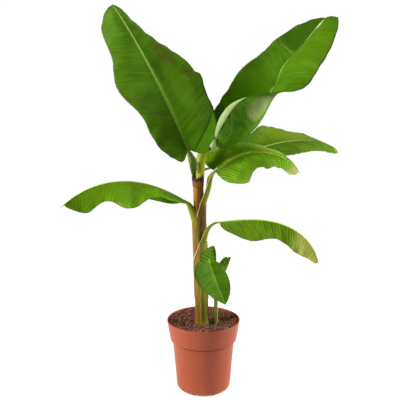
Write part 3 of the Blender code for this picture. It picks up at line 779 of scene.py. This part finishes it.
def rib_direction(leaf, share):
    """The way the midrib runs at this share of its length."""
    return direction(leaf["heading"] + leaf["sweep"] * share,
                     leaf["rise"] - leaf["droop"] * share ** leaf.get("bend", 1.5))


def rib_frame(leaf, share):
    """Along the midrib, out to the leaf's left, and up from its face."""
    along = rib_direction(leaf, share)
    level = UPWARD.cross(along).normalized()
    face = along.cross(level)
    roll = radians(leaf["roll"] + leaf["twist"] * share)
    return along, level * cos(roll) + face * sin(roll), face * cos(roll) - level * sin(roll)


def rib_drift(leaf, share):
    """How far the midrib wanders to the leaf's left here."""
    middle, spread, amount = leaf.get("drift", (0.5, 1.0, 0.0))
    return amount * exp(-((share - middle) / spread) ** 2)


def rib_points(leaf, stations):
    """Points along the midrib from the blade's foot to its tip."""
    straight = [Vector(leaf["root"])]
    for step in range(stations):
        way = rib_direction(leaf, (step + 0.5) / stations)
        straight.append(straight[-1] + way * leaf["length"] / stations)
    return [point + rib_frame(leaf, step / stations)[1] * rib_drift(leaf, step / stations)
            for step, point in enumerate(straight)]


def rib_radius(leaf, share):
    """Half the midrib's breadth, from its stalk's end to a thread at the tip."""
    thick = leaf.get("rib", leaf["stalk_tip"] * 0.70)
    return RIB_TIP + (thick - RIB_TIP) * (1.0 - share) ** 0.90


# ---- Blades ----
# Thin sheets on both sides of the midrib, pleated along the veins that run from it to the margin. They
# droop, fold and roll as each leaf does, and their tips are dry.
BLADE_THICKNESS = 0.0005
PLEAT_PITCH = 0.0085
PLEAT_HEIGHT = 0.0004
VEIN_SLANT = 27.0            # how far the pleats lean towards the tip
MARGIN_PITCH = 0.034         # length of the margin's broad waves
SWAY = 0.004                 # and their height
NICKS = 0.012                # how ragged the margin is, as a share of the width
FULL_RELIEF_WIDTH = 0.03     # a narrower half has lower pleats and waves
LIGHT_VEIN_PITCH = 0.0052


def half_width(leaf, side, share):
    """Width of one half of the blade at this share of its length."""
    widening = min(share / leaf["full"], 1.0)
    narrowing = min(max((share - 1.0 + leaf["taper"]) / leaf["taper"], 0.0), 1.0)
    foot = side["foot"] + (1.0 - side["foot"]) * sqrt(1.0 - (1.0 - widening) ** 2)
    ripple = 1.0 + side["wave"] * sin(2.0 * pi * (side["waves"] * share + side["phase"]))
    width = side["width"] * foot * (1.0 - narrowing ** 2.2) ** leaf.get("point", 0.5) * ripple
    lobe_top, lobe_reach, lobe_width = side["lobe"]
    below = lobe_top - share
    width += lobe_width * smooth_step(below / 0.02) * exp(-(below / lobe_reach) ** 2)
    return max(width, leaf.get("blunt", LEAST_HALF_WIDTH))


def half_blade(leaf, side, sign, stations, columns):
    """Rows of points from beside the midrib out to the margin, one row along each vein."""
    slant = tan(radians(VEIN_SLANT))
    ribs = rib_points(leaf, stations)
    rows = []
    starts = []
    for station, rib in enumerate(ribs):
        share = station / stations
        along, left, face = rib_frame(leaf, share)
        run = share * leaf["length"]
        nick = noise.noise(Vector((run * 190.0, sign, 2.0)))
        width = half_width(leaf, side, share) * (1.0 + NICKS * nick) - sign * rib_drift(leaf, share)
        relief = min(1.0, width / FULL_RELIEF_WIDTH)
        change = smooth_step((share - side["turn"]) / side["over"] + 0.5)
        fold = radians(side["fold"] + side["fold_gain"] * change)
        curl = radians(side["curl"] + side["curl_gain"] * change)
        vein = radians(leaf["vein_foot"] + (leaf["vein_tip"] - leaf["vein_foot"]) * share)
        inner = min(rib_radius(leaf, share) * 0.85, width * 0.5)
        edges = [inner + (width - inner) * (column / columns) for column in range(columns + 1)]
        sway = noise.noise(Vector((run / MARGIN_PITCH * 1.6, sign * 7.0, leaf["length"] * 9.0)))
        point = rib.copy()
        reach = 0.0
        row = []
        row_starts = []
        for edge in edges:
            angle = fold + curl * (reach + edge) / (2.0 * width)
            outward = left * (sign * cos(angle)) + face * sin(angle)
            point = point + (outward * cos(vein) + along * sin(vein)) * (edge - reach)
            reach = edge
            share_out = edge / width
            normal = face * cos(angle) - left * (sign * sin(angle))
            vein_start = run + edge * (sin(vein) - cos(vein) * slant)
            wobble = noise.noise(Vector((vein_start * 40.0, sign * 3.0, 0.0)))
            ridge = sin(2.0 * pi * (vein_start / PLEAT_PITCH + 0.8 * wobble))
            row_starts.append(vein_start)
            lift = PLEAT_HEIGHT * ridge * min(1.0, 4.0 * share_out)
            lift += leaf.get("sway", SWAY) * sway * share_out ** 2.5
            row.append(point + normal * (lift * relief))
        rows.append(row)
        starts.append(row_starts)
    return rows, starts


def blade_piece(name, leaf, stations, columns, *finishes):
    """Both halves of a blade in one piece, with maps of its run and breadth and of its veins."""
    sheet = bmesh.new()
    leaf_map = sheet.loops.layers.uv.new("leaf")
    vein_map = sheet.loops.layers.uv.new("veins")
    for key, sign in (("right", -1), ("left", 1)):
        wide = columns * (3 if leaf[key]["curl"] > 90 else 1)      # a rolled half needs more columns
        rows, starts = half_blade(leaf, leaf[key], sign, stations, wide)
        verts = [[sheet.verts.new(point) for point in row] for row in rows]
        for station in range(stations):
            for column in range(wide):
                spots = [(station, column), (station + 1, column),
                         (station + 1, column + 1), (station, column + 1)]
                if sign < 0:
                    spots.reverse()
                face = sheet.faces.new([verts[row][place] for row, place in spots])
                for loop, (row, place) in zip(face.loops, spots):
                    loop[leaf_map].uv = (row / stations, 0.5 + 0.5 * sign * place / wide)
                    loop[vein_map].uv = (starts[row][place], sign * place / wide)
    blade = piece_from(name, sheet, *finishes)
    body = blade.modifiers.new("thickness", "SOLIDIFY")
    body.thickness = BLADE_THICKNESS
    body.offset = 0.0
    body.material_offset = 1
    return blade


def leaf_finish(name, skin_colour, tip, tip_start, patches=(), lined=0.0, crease=0.0):
    """A leaf's skin: streaks along its veins, a paler strip by the midrib, a dry margin and tip, and patches.

    Each patch has its place along the leaf and across it, its reach both ways, its colour and its strength.
    Lined adds regular light veins, and crease a painted shadow line along a fold and painted light beyond it.
    """
    coat = Finish(name, roughness=0.42, specular_ior_level=0.04)
    deep, fresh, light = (tuple(value * share for value in skin_colour) for share in (0.68, 1.25, 2.1))
    place = coat.node("ShaderNodeUVMap", {"uv_map": "leaf"})
    lines = coat.node("ShaderNodeUVMap", {"uv_map": "veins"})
    run = coat.part(place, "X")
    breadth = coat.part(place, "Y")
    across = (breadth - 0.5).math("ABSOLUTE") * 2.0
    veins = coat.noise(coat.stretched(lines, (520.0, 1.6, 1.0)), 1.0, 3.0)
    bands = coat.noise(coat.stretched(lines, (95.0, 1.0, 1.0)), 1.0, 2.0)
    clouds = coat.noise(coat.place(), 22.0, 3.0)
    tint = coat.blend(coat.ease(veins * 0.35 + bands * 0.25 + clouds * 0.40, 0.36, 0.64), deep, fresh)
    tint = coat.blend(coat.ease(veins, 0.60, 0.78) * 0.30, tint, light)
    along = coat.part(lines, "X")
    if lined:
        beat = ((along + (bands - 0.5) * 0.006) / LIGHT_VEIN_PITCH).math("PINGPONG", 1.0)
        tint = coat.blend(coat.ease(beat, 0.70, 0.97) * lined, tint, light)
    # Painted light on the lobe beyond the fold, and a painted shadow line along the fold itself.
    if crease:
        beyond = (0.5 - breadth) * 2.0 - (0.36 + 2.3 * run)
        low = coat.ease(run, 0.27, 0.21)
        tint = coat.blend(coat.ease(beyond, 0.0, 0.03) * low * 0.45, tint, (0.075, 0.230, 0.004))
        line = coat.ease(beyond.math("ABSOLUTE"), 0.05, 0.0)
        tint = coat.blend(line * low * crease, tint, (0.012, 0.035, 0.002))
    tint = coat.blend(coat.ease(across, 0.07, 0.0) * 0.4, tint, light)
    for spot_run, spot_across, run_reach, across_reach, colour, strength in patches:
        offset_run = (run - spot_run) / run_reach
        offset_across = (breadth - (0.5 + 0.5 * spot_across)) / (across_reach * 0.5)
        away = offset_run * offset_run + offset_across * offset_across
        spot = coat.ease(away + (clouds - 0.5) * 1.6, 1.0, 0.2)
        tint = coat.blend(spot * strength, tint, colour)
    dry = coat.ease(across + (bands - 0.5) * 0.06, 0.965, 1.0) * 0.6
    tint = coat.blend(dry, tint, (0.035, 0.040, 0.008))
    towards_tip = run + (clouds - 0.5) * 0.10 + (across - 0.5) * 0.03
    ended = coat.ease(towards_tip, tip_start, min(tip_start + 0.09, 1.02))
    coat.colour(coat.blend(ended, tint, tip))
    coat.relief(veins, 0.0003)
    return coat


# ---- Stalks and midribs ----
# Each leaf is carried by one channelled stalk. Above, it runs on under the blade as the midrib and thins
# out to the tip. The older stalks open below into a sheath that lies on the false stem.
STALK_STATIONS = 60
SHEATH_STATIONS = 50
RIB_STATIONS = 130
TAIL_STATIONS = 8
SECTION_POINTS = 30
STALK_WALL = 0.55            # thickness of a stalk's wall, as a share of its radius
STALK_SPREAD = radians(112.0)    # half the angle over which a bare stalk is closed
RIB_SPREAD = radians(92.0)
RIB_LIFT = 0.0003
RIB_WALL = 0.6               # thickness of a midrib's wall, as a share of its radius
SHEATH_WALL = 0.0011
SHEATH_REACH = 0.062         # half the breadth of a sheath, round the stem
SHEATH_TAPER = 0.075         # a sheath runs this much further down, where it can hardly be told from the stem
SHEATH_SINK = 0.0012         # and sinks this far into the stem at its lower end
STEM_END = 0.62              # the stem's radius is not asked for above this height
DRY_RIM = (0.520, 0.340, 0.220)


def hermite(start, start_way, end, end_way, share):
    """Point on a smooth curve that leaves start along start_way and reaches end along end_way."""
    blend = 3 * share ** 2 - 2 * share ** 3
    return (start * (1 - blend) + end * blend + start_way * (share ** 3 - 2 * share ** 2 + share)
            + end_way * (share ** 3 - share ** 2))


def mixed(low, high, share):
    """A number or vector between two."""
    return low * (1.0 - share) + high * share


def stalk_stations(leaf, foot, path):
    """Distances from a stalk's foot, negative down its sheath, with the stalk's point where there is one."""
    stations = []
    if "sheath" in leaf:
        lowest = leaf["sheath"][0] - SHEATH_TAPER
        stations = [(lowest * (1.0 - step / SHEATH_STATIONS), None) for step in range(SHEATH_STATIONS)]
    distance = 0.0
    for step, point in enumerate(path):
        if step:
            distance += (point - path[step - 1]).length
        stations.append((distance, point))
    return stations


def add_station(line, middle, outward, girth, spread, wall, stage):
    """Adds one section. Its stage is below 1 on the sheath, 1 to 2 on the stalk, 2 to 3 on the midrib."""
    values = dict(middle=middle, outward=outward, girth=girth, spread=spread, wall=wall, stage=stage)
    for label, value in values.items():
        line[label].append(value)


def stalk_line(leaf, foot_centre, foot_radius):
    """The stations of one sheath, stalk and midrib, with what the section is at each of them."""
    foot = Vector(leaf["stalk_from"])
    rib_way = rib_direction(leaf, 0.0)
    end = Vector(leaf["root"]) - rib_way * leaf["stalk_tip"] * 1.3
    reach = (end - foot).length
    start_way = Vector(leaf["stalk_way"]) * reach
    end_way = rib_way * (leaf.get("stalk_end", 1.0) * reach)
    path = [hermite(foot, start_way, end, end_way, step / STALK_STATIONS)
            for step in range(STALK_STATIONS + 1)]
    stations = stalk_stations(leaf, foot, path)
    lowest = stations[0][0]
    length = stations[-1][0]
    from_stem = (foot - foot_centre(foot.z)) * Vector((1.0, 1.0, 0.0))
    away = Vector(leaf.get("stalk_out", from_stem)).normalized()
    down = -rib_frame(leaf, 0.0)[2]
    turns_from = 0.55 if "stalk_out" in leaf else 0.0
    line = {label: [] for label in ("middle", "outward", "sideways", "girth", "spread", "wall", "stage")}
    for along, point in stations:
        share = min(max(along, 0.0) / max(length, 0.001), 1.0)
        petiole = mixed(leaf["stalk_radius"], leaf["stalk_tip"], share)
        petiole += leaf.get("swell", 0.0) * sin(pi * share)
        out = mixed(away, down, smooth_step((share - turns_from) / (0.87 - turns_from))).normalized()
        girth = petiole
        spread = STALK_SPREAD
        wall = petiole * STALK_WALL
        if "sheath" in leaf:
            low, high = leaf["sheath"]
            risen = smooth_step((along - lowest) / 0.03)
            level = foot.z + along if point is None else min(point.z, STEM_END)
            hug = foot_radius(level) + leaf["sheath_lift"] * risen - SHEATH_SINK * (1.0 - risen)
            opening = smooth_step((along + 0.020) / leaf["opens_over"])
            girth = mixed(hug, petiole, opening)
            half_arc = mixed(SHEATH_REACH, petiole * 1.95, smooth_step((along - low) / (high - low)))
            spread = min(half_arc / girth, radians(178.0))
            wall = mixed(SHEATH_WALL, petiole * STALK_WALL, opening)
        if point is None:
            leaving = from_stem.to_2d().length + leaf["stalk_radius"]
            surface = foot_centre(level) + away * mixed(hug, leaving, smooth_step((along + 0.100) / 0.100))
        else:
            surface = point + out * petiole
        spread = mixed(spread, RIB_SPREAD, smooth_step((share - 0.75) / 0.25))
        stage = 1.0 + share if along >= 0.0 else 1.0 + along / 0.2
        add_station(line, surface - out * girth, out, girth, spread, wall, stage)
    ribs = rib_points(leaf, RIB_STATIONS)
    for step, rib in enumerate(ribs):
        share = step / RIB_STATIONS
        _, _, face = rib_frame(leaf, share)
        radius = rib_radius(leaf, share)
        add_station(line, rib - face * RIB_LIFT, -face, radius, RIB_SPREAD, radius * RIB_WALL, 2.0 + share)
    tail = leaf.get("tail", 0.0)
    tail_way = rib_direction(leaf, 1.0)
    for step in range(1, TAIL_STATIONS + 1 if tail else 1):
        share = step / TAIL_STATIONS
        point = ribs[-1] + tail_way * (tail * share) - UPWARD * (tail * 0.25 * share ** 2)
        radius = rib_radius(leaf, 1.0) * (1.15 - share)
        add_station(line, point, -rib_frame(leaf, 1.0)[2], radius, RIB_SPREAD, radius * RIB_WALL, 3.05)
    points = line["middle"]
    for place, out in enumerate(line["outward"]):
        ahead = (points[min(place + 1, len(points) - 1)] - points[max(place - 1, 0)]).normalized()
        if line["stage"][place] < 1.0:
            ahead = UPWARD
        line["sideways"].append(ahead.cross(out).normalized())
        line["outward"][place] = line["sideways"][place].cross(ahead).normalized()
    return line


# A ring of points is set out at each station: its first half runs round the outside of the stalk, and its
# second half back along the inside of the channel.
stalk_net, stalk_in = shape_tree("channelled stalk", [("Section Points", "Int"), ("Material", "Material")])
tube = swept(stalk_net, stalk_in["Geometry"], stalk_in["Section Points"], 0.001, {})
count = stalk_net.node("GeometryNodeInputIndex").math("MODULO", stalk_in["Section Points"])
halfway = stalk_in["Section Points"] * 0.5
inner_face = count.math("GREATER_THAN", halfway - 0.5)
step_along = count.math("MODULO", halfway) / (halfway - 1.0)
turn = (step_along * 2.0 - 1.0) * (1.0 - inner_face * 2.0)
angle = turn * named(stalk_net, "spread")
edge_wall = named(stalk_net, "wall") * (1.0 - (turn ** 4.0) * 0.6)
radius = named(stalk_net, "girth") - inner_face * edge_wall
middle, outward, aside = (named(stalk_net, label, "FLOAT_VECTOR")
                          for label in ("middle", "outward", "sideways"))
outward = stalk_net.vector("SCALE", outward, angle.math("COSINE") * radius)
aside = stalk_net.vector("SCALE", aside, angle.math("SINE") * radius)
spot = stalk_net.vector("ADD", stalk_net.vector("ADD", middle, outward), aside)
for label, value in (("edge", turn.math("ABSOLUTE")), ("channel", inner_face)):
    tube = stalk_net.node("GeometryNodeStoreNamedAttribute", {"data_type": "FLOAT", "domain": "POINT"},
                          {"Geometry": tube, "Name": label, "Value": value})
tube = stalk_net.node("GeometryNodeSetPosition", {}, {"Geometry": tube, "Position": spot})
close_tree(stalk_net, tube, stalk_in["Material"])


def stalk_finish(name, middle, rib, pale, edge_from=0.86, turns=(0.85, 1.30)):
    """A stalk's skin, from its sheath's colours through the bare stalk's to the midrib's, with pale edges."""
    coat = Finish(name, roughness=0.42, specular_ior_level=0.08)
    where = coat.place()
    stage, edge, channel = (coat.node("ShaderNodeAttribute", {"attribute_name": label}, {}, "Fac")
                            for label in ("stage", "edge", "channel"))
    threads = coat.drawn(where, 0.05, 420.0, 3.0)
    clouds = coat.noise(where, 60.0, 3.0)
    sheath, _ = sheath_tint(coat)
    tint = coat.blend(coat.ease(stage + (clouds - 0.5) * 0.20, *turns), sheath, middle)
    tint = coat.blend(coat.ease(threads, 0.40, 0.75) * 0.22, tint, pale)
    bare = coat.ease(stage, 2.15, 1.95)
    seam = coat.ease((edge - (edge_from - 0.04)).math("ABSOLUTE"), 0.07, 0.01)
    tint = coat.blend(seam * bare * 0.60, tint, (0.045, 0.030, 0.006))
    rim = coat.blend(coat.ease(stage, 1.0, 1.3), DRY_RIM, pale)
    tint = coat.blend(coat.ease(edge, edge_from, edge_from + 0.08) * bare * 0.90, tint, rim)
    tint = coat.blend(channel * bare * 0.25, tint, pale)
    tint = coat.blend(coat.ease(stage, 1.90, 2.20), tint, rib)
    coat.colour(coat.blend(coat.ease(stage, 2.97, 3.02), tint, (0.130, 0.075, 0.022)))
    coat.relief(threads, 0.0004)
    return coat


def stalk_piece(place, leaf, centre, radius, coat):
    """One stalk with its sheath and midrib, in the place of its node."""
    line = stalk_line(leaf, centre, radius)
    chain = line_mesh("stalk line " + place, line["middle"], **line)
    stalk = grown("stalk_and_rib_" + place, chain, stalk_net, {"Section Points": SECTION_POINTS}, coat)
    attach(stalk, "root")
    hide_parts("stalk_" + place)


old_stalk = stalk_finish(
    "older leaf stalk", (0.205, 0.240, 0.012), (0.520, 0.640, 0.070), (0.420, 0.420, 0.090))
young_stalk = stalk_finish(
    "young leaf stalk", (0.340, 0.400, 0.014), (0.400, 0.520, 0.130), (0.520, 0.560, 0.160),
    edge_from=0.70, turns=(0.0, 0.5))
# Painted shade: a darker copy of the stalk's colours, used for the upper left leaf's stalk.
shaded_stalk = stalk_finish(
    "shaded leaf stalk", (0.105, 0.180, 0.010), (0.300, 0.440, 0.090), (0.270, 0.360, 0.090),
    edge_from=0.80, turns=(0.0, 0.5))
STALK_SKINS = {"upper_left": shaded_stalk, "upper_right": young_stalk}


def sucker_centre(height):
    """Middle of the sucker's stem where its stalks leave it."""
    return Vector((0.0357, -0.002, height))


def sucker_radius(height):
    """Radius on which the sucker's stalks stand."""
    return 0.004


for place, leaf in LEAVES.items():
    if place.startswith("sucker"):
        stalk_piece(place, leaf, sucker_centre, sucker_radius, old_stalk)
    else:
        stalk_piece(place, leaf, stem_centre, stem_radius, STALK_SKINS.get(place, old_stalk))

SUCKER_FOOT = Vector((SUCKER_PLACE.x, 0.0, MIX_TOP))
SUCKER_END = Vector((0.0355, -0.004, 0.318))
SUCKER_GIRTH = (0.0060, 0.0052)
SUCKER_STATIONS = 40


def sucker_line():
    """The sucker's short stem from the mix up to its own leaves."""
    shares = [step / SUCKER_STATIONS for step in range(SUCKER_STATIONS + 1)]
    return line_mesh("sucker line", [mixed(SUCKER_FOOT, SUCKER_END, share) for share in shares],
                     girth=[mixed(*SUCKER_GIRTH, share) for share in shares])


shoot = Finish("sucker sheath", roughness=0.45, specular_ior_level=0.12)
where = shoot.place()
threads = shoot.drawn(where, 0.05, 420.0, 3.0)
shoot.colour(shoot.blend(threads, (0.10, 0.19, 0.02), (0.30, 0.36, 0.07)))
shoot.relief(threads, 0.0004)
sucker = grown("sucker_sheaths", sucker_line(), core_net, {"Sides": 32, "Fibre Depth": 0.0004}, shoot)
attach(sucker, "root")
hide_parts("sucker_stem")

BROWN = (0.085, 0.045, 0.010)
YELLOW = (0.290, 0.300, 0.035)
STRAW = (0.420, 0.330, 0.120)
PALE_GREEN = (0.42, 0.50, 0.20)
LOOKS = {
    "upper_left": dict(
        skin_colour=(0.050, 0.125, 0.0020), tip=(0.020, 0.060, 0.002), tip_start=0.97, crease=0.8,
        patches=((0.62, -0.60, 0.13, 0.32, BROWN, 0.42),
                 (0.78, -0.50, 0.06, 0.25, BROWN, 0.35),
                 (0.47, -0.80, 0.05, 0.20, BROWN, 0.45),
                 (0.93, 0.65, 0.20, 0.5, (0.08, 0.21, 0.004), 0.15),
                 # painted shade: darker by the midrib near the tip of the left half
                 (0.90, 0.16, 0.12, 0.30, (0.028, 0.078, 0.002), 0.6),
                 (0.40, -0.45, 0.18, 0.30, (0.085, 0.190, 0.003), 0.6))),
    "upper_right": dict(
        skin_colour=(0.056, 0.150, 0.0020), tip=(0.115, 0.070, 0.020), tip_start=0.975,
        patches=((0.72, -0.75, 0.22, 0.75, (0.100, 0.190, 0.003), 0.45),
                 # painted light: lifts the lower left half where the rolled right half shades it
                 (0.36, 0.50, 0.34, 0.60, (0.105, 0.260, 0.004), 0.85),
                 (0.88, 0.55, 0.20, 0.60, (0.030, 0.082, 0.002), 0.85),
                 (0.46, 0.00, 0.06, 0.060, PALE_GREEN, 0.8),
                 # painted highlight: the pale gleam along the outside of the roll
                 (0.30, -0.74, 0.08, 0.24, (0.38, 0.42, 0.15), 0.55),
                 (0.70, -0.330, 0.27, 0.055, PALE_GREEN, 0.9),
                 (0.86, -0.430, 0.10, 0.050, PALE_GREEN, 0.9),
                 (0.89, -0.50, 0.050, 0.080, (0.56, 0.62, 0.32), 1.0),
                 (0.72, 0.46, 0.0045, 0.40, (0.20, 0.28, 0.05), 0.6))),
    "right_near": dict(
        skin_colour=(0.094, 0.205, 0.0050), tip=(0.270, 0.310, 0.060), tip_start=0.86, lined=0.8,
        patches=((0.60, 0.55, 0.25, 0.6, (0.23, 0.33, 0.04), 0.8),
                 # partly real and partly painted light: the midrib's paler colour, brightened where the upper
                 # right leaf shades it
                 (0.45, 0.0, 0.50, 0.09, (0.30, 0.43, 0.02), 0.85),
                 # painted light: brightens the blade near its foot where the upper right leaf's roll shades it
                 (0.25, 0.6, 0.3, 0.6, (0.13, 0.27, 0.006), 0.6),
                 (0.35, -0.75, 0.25, 0.5, (0.055, 0.120, 0.003), 0.6))),
    "right_far": dict(
        skin_colour=(0.060, 0.128, 0.0040), tip=YELLOW, tip_start=0.90, lined=0.6,
        patches=((0.62, 0.55, 0.35, 0.6, (0.155, 0.240, 0.012), 0.7),)),
    "left_low": dict(
        skin_colour=(0.098, 0.225, 0.0050), tip=STRAW, tip_start=0.965, lined=0.25,
        patches=((0.70, 0.3, 0.24, 1.0, (0.140, 0.310, 0.006), 0.8),
                 (0.10, 0.0, 0.16, 1.0, (0.060, 0.125, 0.003), 0.6),
                 (0.56, 0.93, 0.035, 0.12, YELLOW, 0.9))),
    "right_low": dict(
        skin_colour=(0.085, 0.168, 0.0050), tip=(0.46, 0.42, 0.10), tip_start=0.86, lined=0.5,
        patches=((0.84, -0.4, 0.24, 1.0, (0.42, 0.45, 0.09), 0.85),)),
    "sucker_front": dict(skin_colour=(0.060, 0.150, 0.0020), tip=(0.06, 0.15, 0.004), tip_start=0.97),
    "sucker_top": dict(skin_colour=(0.080, 0.175, 0.0060), tip=(0.10, 0.16, 0.01), tip_start=0.97, lined=1.0),
    "sucker_back": dict(skin_colour=(0.150, 0.340, 0.0070), tip=(0.10, 0.20, 0.01), tip_start=0.97),
}
LEAF_GRID = (170, 18)        # stations along a blade, and columns across each half
SMALL_LEAF_GRID = (60, 8)

for place, leaf in LEAVES.items():
    grid = SMALL_LEAF_GRID if place.startswith("sucker") else LEAF_GRID
    look = LOOKS[place]
    below = dict(look, skin_colour=tuple(value * 1.15 + 0.003 for value in look["skin_colour"]))
    above = leaf_finish("leaf face " + place, **look)
    blade = blade_piece("blade_" + place, leaf, *grid, above, leaf_finish("leaf back " + place, **below))
    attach(blade, "root")
    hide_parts("leaf_" + place)


# ---- Turned edge ----
# The rolled half of the upper right leaf turns back on itself along its lowest margin and shows its pale
# underside there as a narrow flap. A small pale scale of dead sheath stands below it, by the stalk.
EDGE_STATIONS = 40
EDGE_COLUMNS = 5
EDGE_END = 0.29              # share of the leaf's length at which the flap has nearly run out
EDGE_WIDTH = 0.022
SCALE_DEPTH = -0.045         # how far to the front the scale stands
SCALE_CORNERS = ((0.0162, 0.7317), (0.0249, 0.7146), (0.0338, 0.7305), (0.0312, 0.7531))

leaf = LEAVES["upper_right"]
margin_rows, _ = half_blade(dict(leaf, sway=0.0), leaf["right"], -1, LEAF_GRID[0], 3 * LEAF_GRID[1])
margin = [row[-1] for row in margin_rows]
flap = bmesh.new()
rows = []
for station in range(EDGE_STATIONS + 1):
    share = station / EDGE_STATIONS
    place = LEAF_GRID[0] * EDGE_END * share
    start = margin[int(place)].lerp(margin[int(place) + 1], place % 1.0)
    width = EDGE_WIDTH * (0.06 + sin(pi * share ** 0.85)) * (0.45 + 0.55 * share)
    rows.append([flap.verts.new(start + Vector((-0.95, 0.55 * out, 0.12 + 0.25 * out)) * (width * out))
                 for out in (column / EDGE_COLUMNS for column in range(EDGE_COLUMNS + 1))])
skinned(flap, rows, closed=False, flipped=True)
flap.faces.new([flap.verts.new((x, SCALE_DEPTH, z)) for x, z in SCALE_CORNERS])
underside = Finish("pale underside", roughness=0.6, specular_ior_level=0.1)
speckle = underside.noise(underside.place(), 700.0, 3.0)
underside.colour(underside.blend(speckle, (0.20, 0.28, 0.08), (0.38, 0.47, 0.22)))
turned_edge = piece_from("turned_edge_upper_right", flap, underside)
body = turned_edge.modifiers.new("thickness", "SOLIDIFY")
body.thickness = BLADE_THICKNESS
body.offset = 0.0
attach(turned_edge, "root")
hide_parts("leaf_upper_right")


# ---- Floor, lights and camera ----
# A plain pale floor with soft boxes to the left and right and one above. The camera stands about a metre
# and a quarter up and looks down a little on the plant.
FLOOR_HALF_SIZE = 1.3
CAMERA_PLACE = (-0.010, -2.6, 1.2317)
CAMERA_PITCH = 14.332        # degrees below level
CAMERA_LENS = 86.07

floor_finish = Finish("studio floor", roughness=1.0, specular_ior_level=0.0,
                      base_color=(0.45, 0.45, 0.45, 1.0), emission_color=(1.0, 1.0, 1.0, 1.0),
                      emission_strength=0.60)
floor_shape = bmesh.new()
bmesh.ops.create_grid(floor_shape, x_segments=1, y_segments=1, size=FLOOR_HALF_SIZE)
floor = piece_from("studio_floor", floor_shape, floor_finish, smooth=False)

world = bpy.data.worlds.new("studio")
bpy.context.scene.world = world
world.use_nodes = True
sky = Net(world.node_tree)
seen = sky.node("ShaderNodeLightPath")
backdrop = world.node_tree.nodes["Background"]
backdrop.inputs["Color"].default_value = (1.0, 1.0, 1.0, 1.0)
world.node_tree.links.new((0.16 + 0.84 * seen).socket, backdrop.inputs["Strength"])


def soft_light(name, place, aim, size, power):
    """A rectangular softbox aimed at a point of the plant."""
    lamp = bpy.data.lights.new(name, "AREA")
    lamp.shape = "RECTANGLE"
    lamp.size = size[0]
    lamp.size_y = size[1]
    lamp.energy = power
    holder = bpy.data.objects.new(name, lamp)
    holder.location = place
    holder.rotation_euler = (Vector(aim) - Vector(place)).to_track_quat("-Z", "Y").to_euler()
    bpy.context.scene.collection.objects.link(holder)


soft_light("left softbox", (-2.55, -0.80, 1.50), (0.0, 0.0, 0.5), (1.0, 2.0), 140.0)
soft_light("right softbox", (2.55, 0.42, 1.40), (0.0, 0.0, 0.5), (1.0, 2.0), 135.0)
soft_light("top softbox", (0.0, -0.8, 3.2), (0.0, 0.0, 0.6), (1.6, 1.2), 22.0)

camera = bpy.data.cameras.new("camera")
camera.lens = CAMERA_LENS
camera.sensor_width = 36.0
camera.clip_end = 50.0
viewer = bpy.data.objects.new("camera", camera)
viewer.location = CAMERA_PLACE
viewer.rotation_euler = (radians(90.0 - CAMERA_PITCH), 0.0, 0.0)
bpy.context.scene.collection.objects.link(viewer)
bpy.context.scene.camera = viewer
bpy.context.scene.view_settings.view_transform = "Standard"
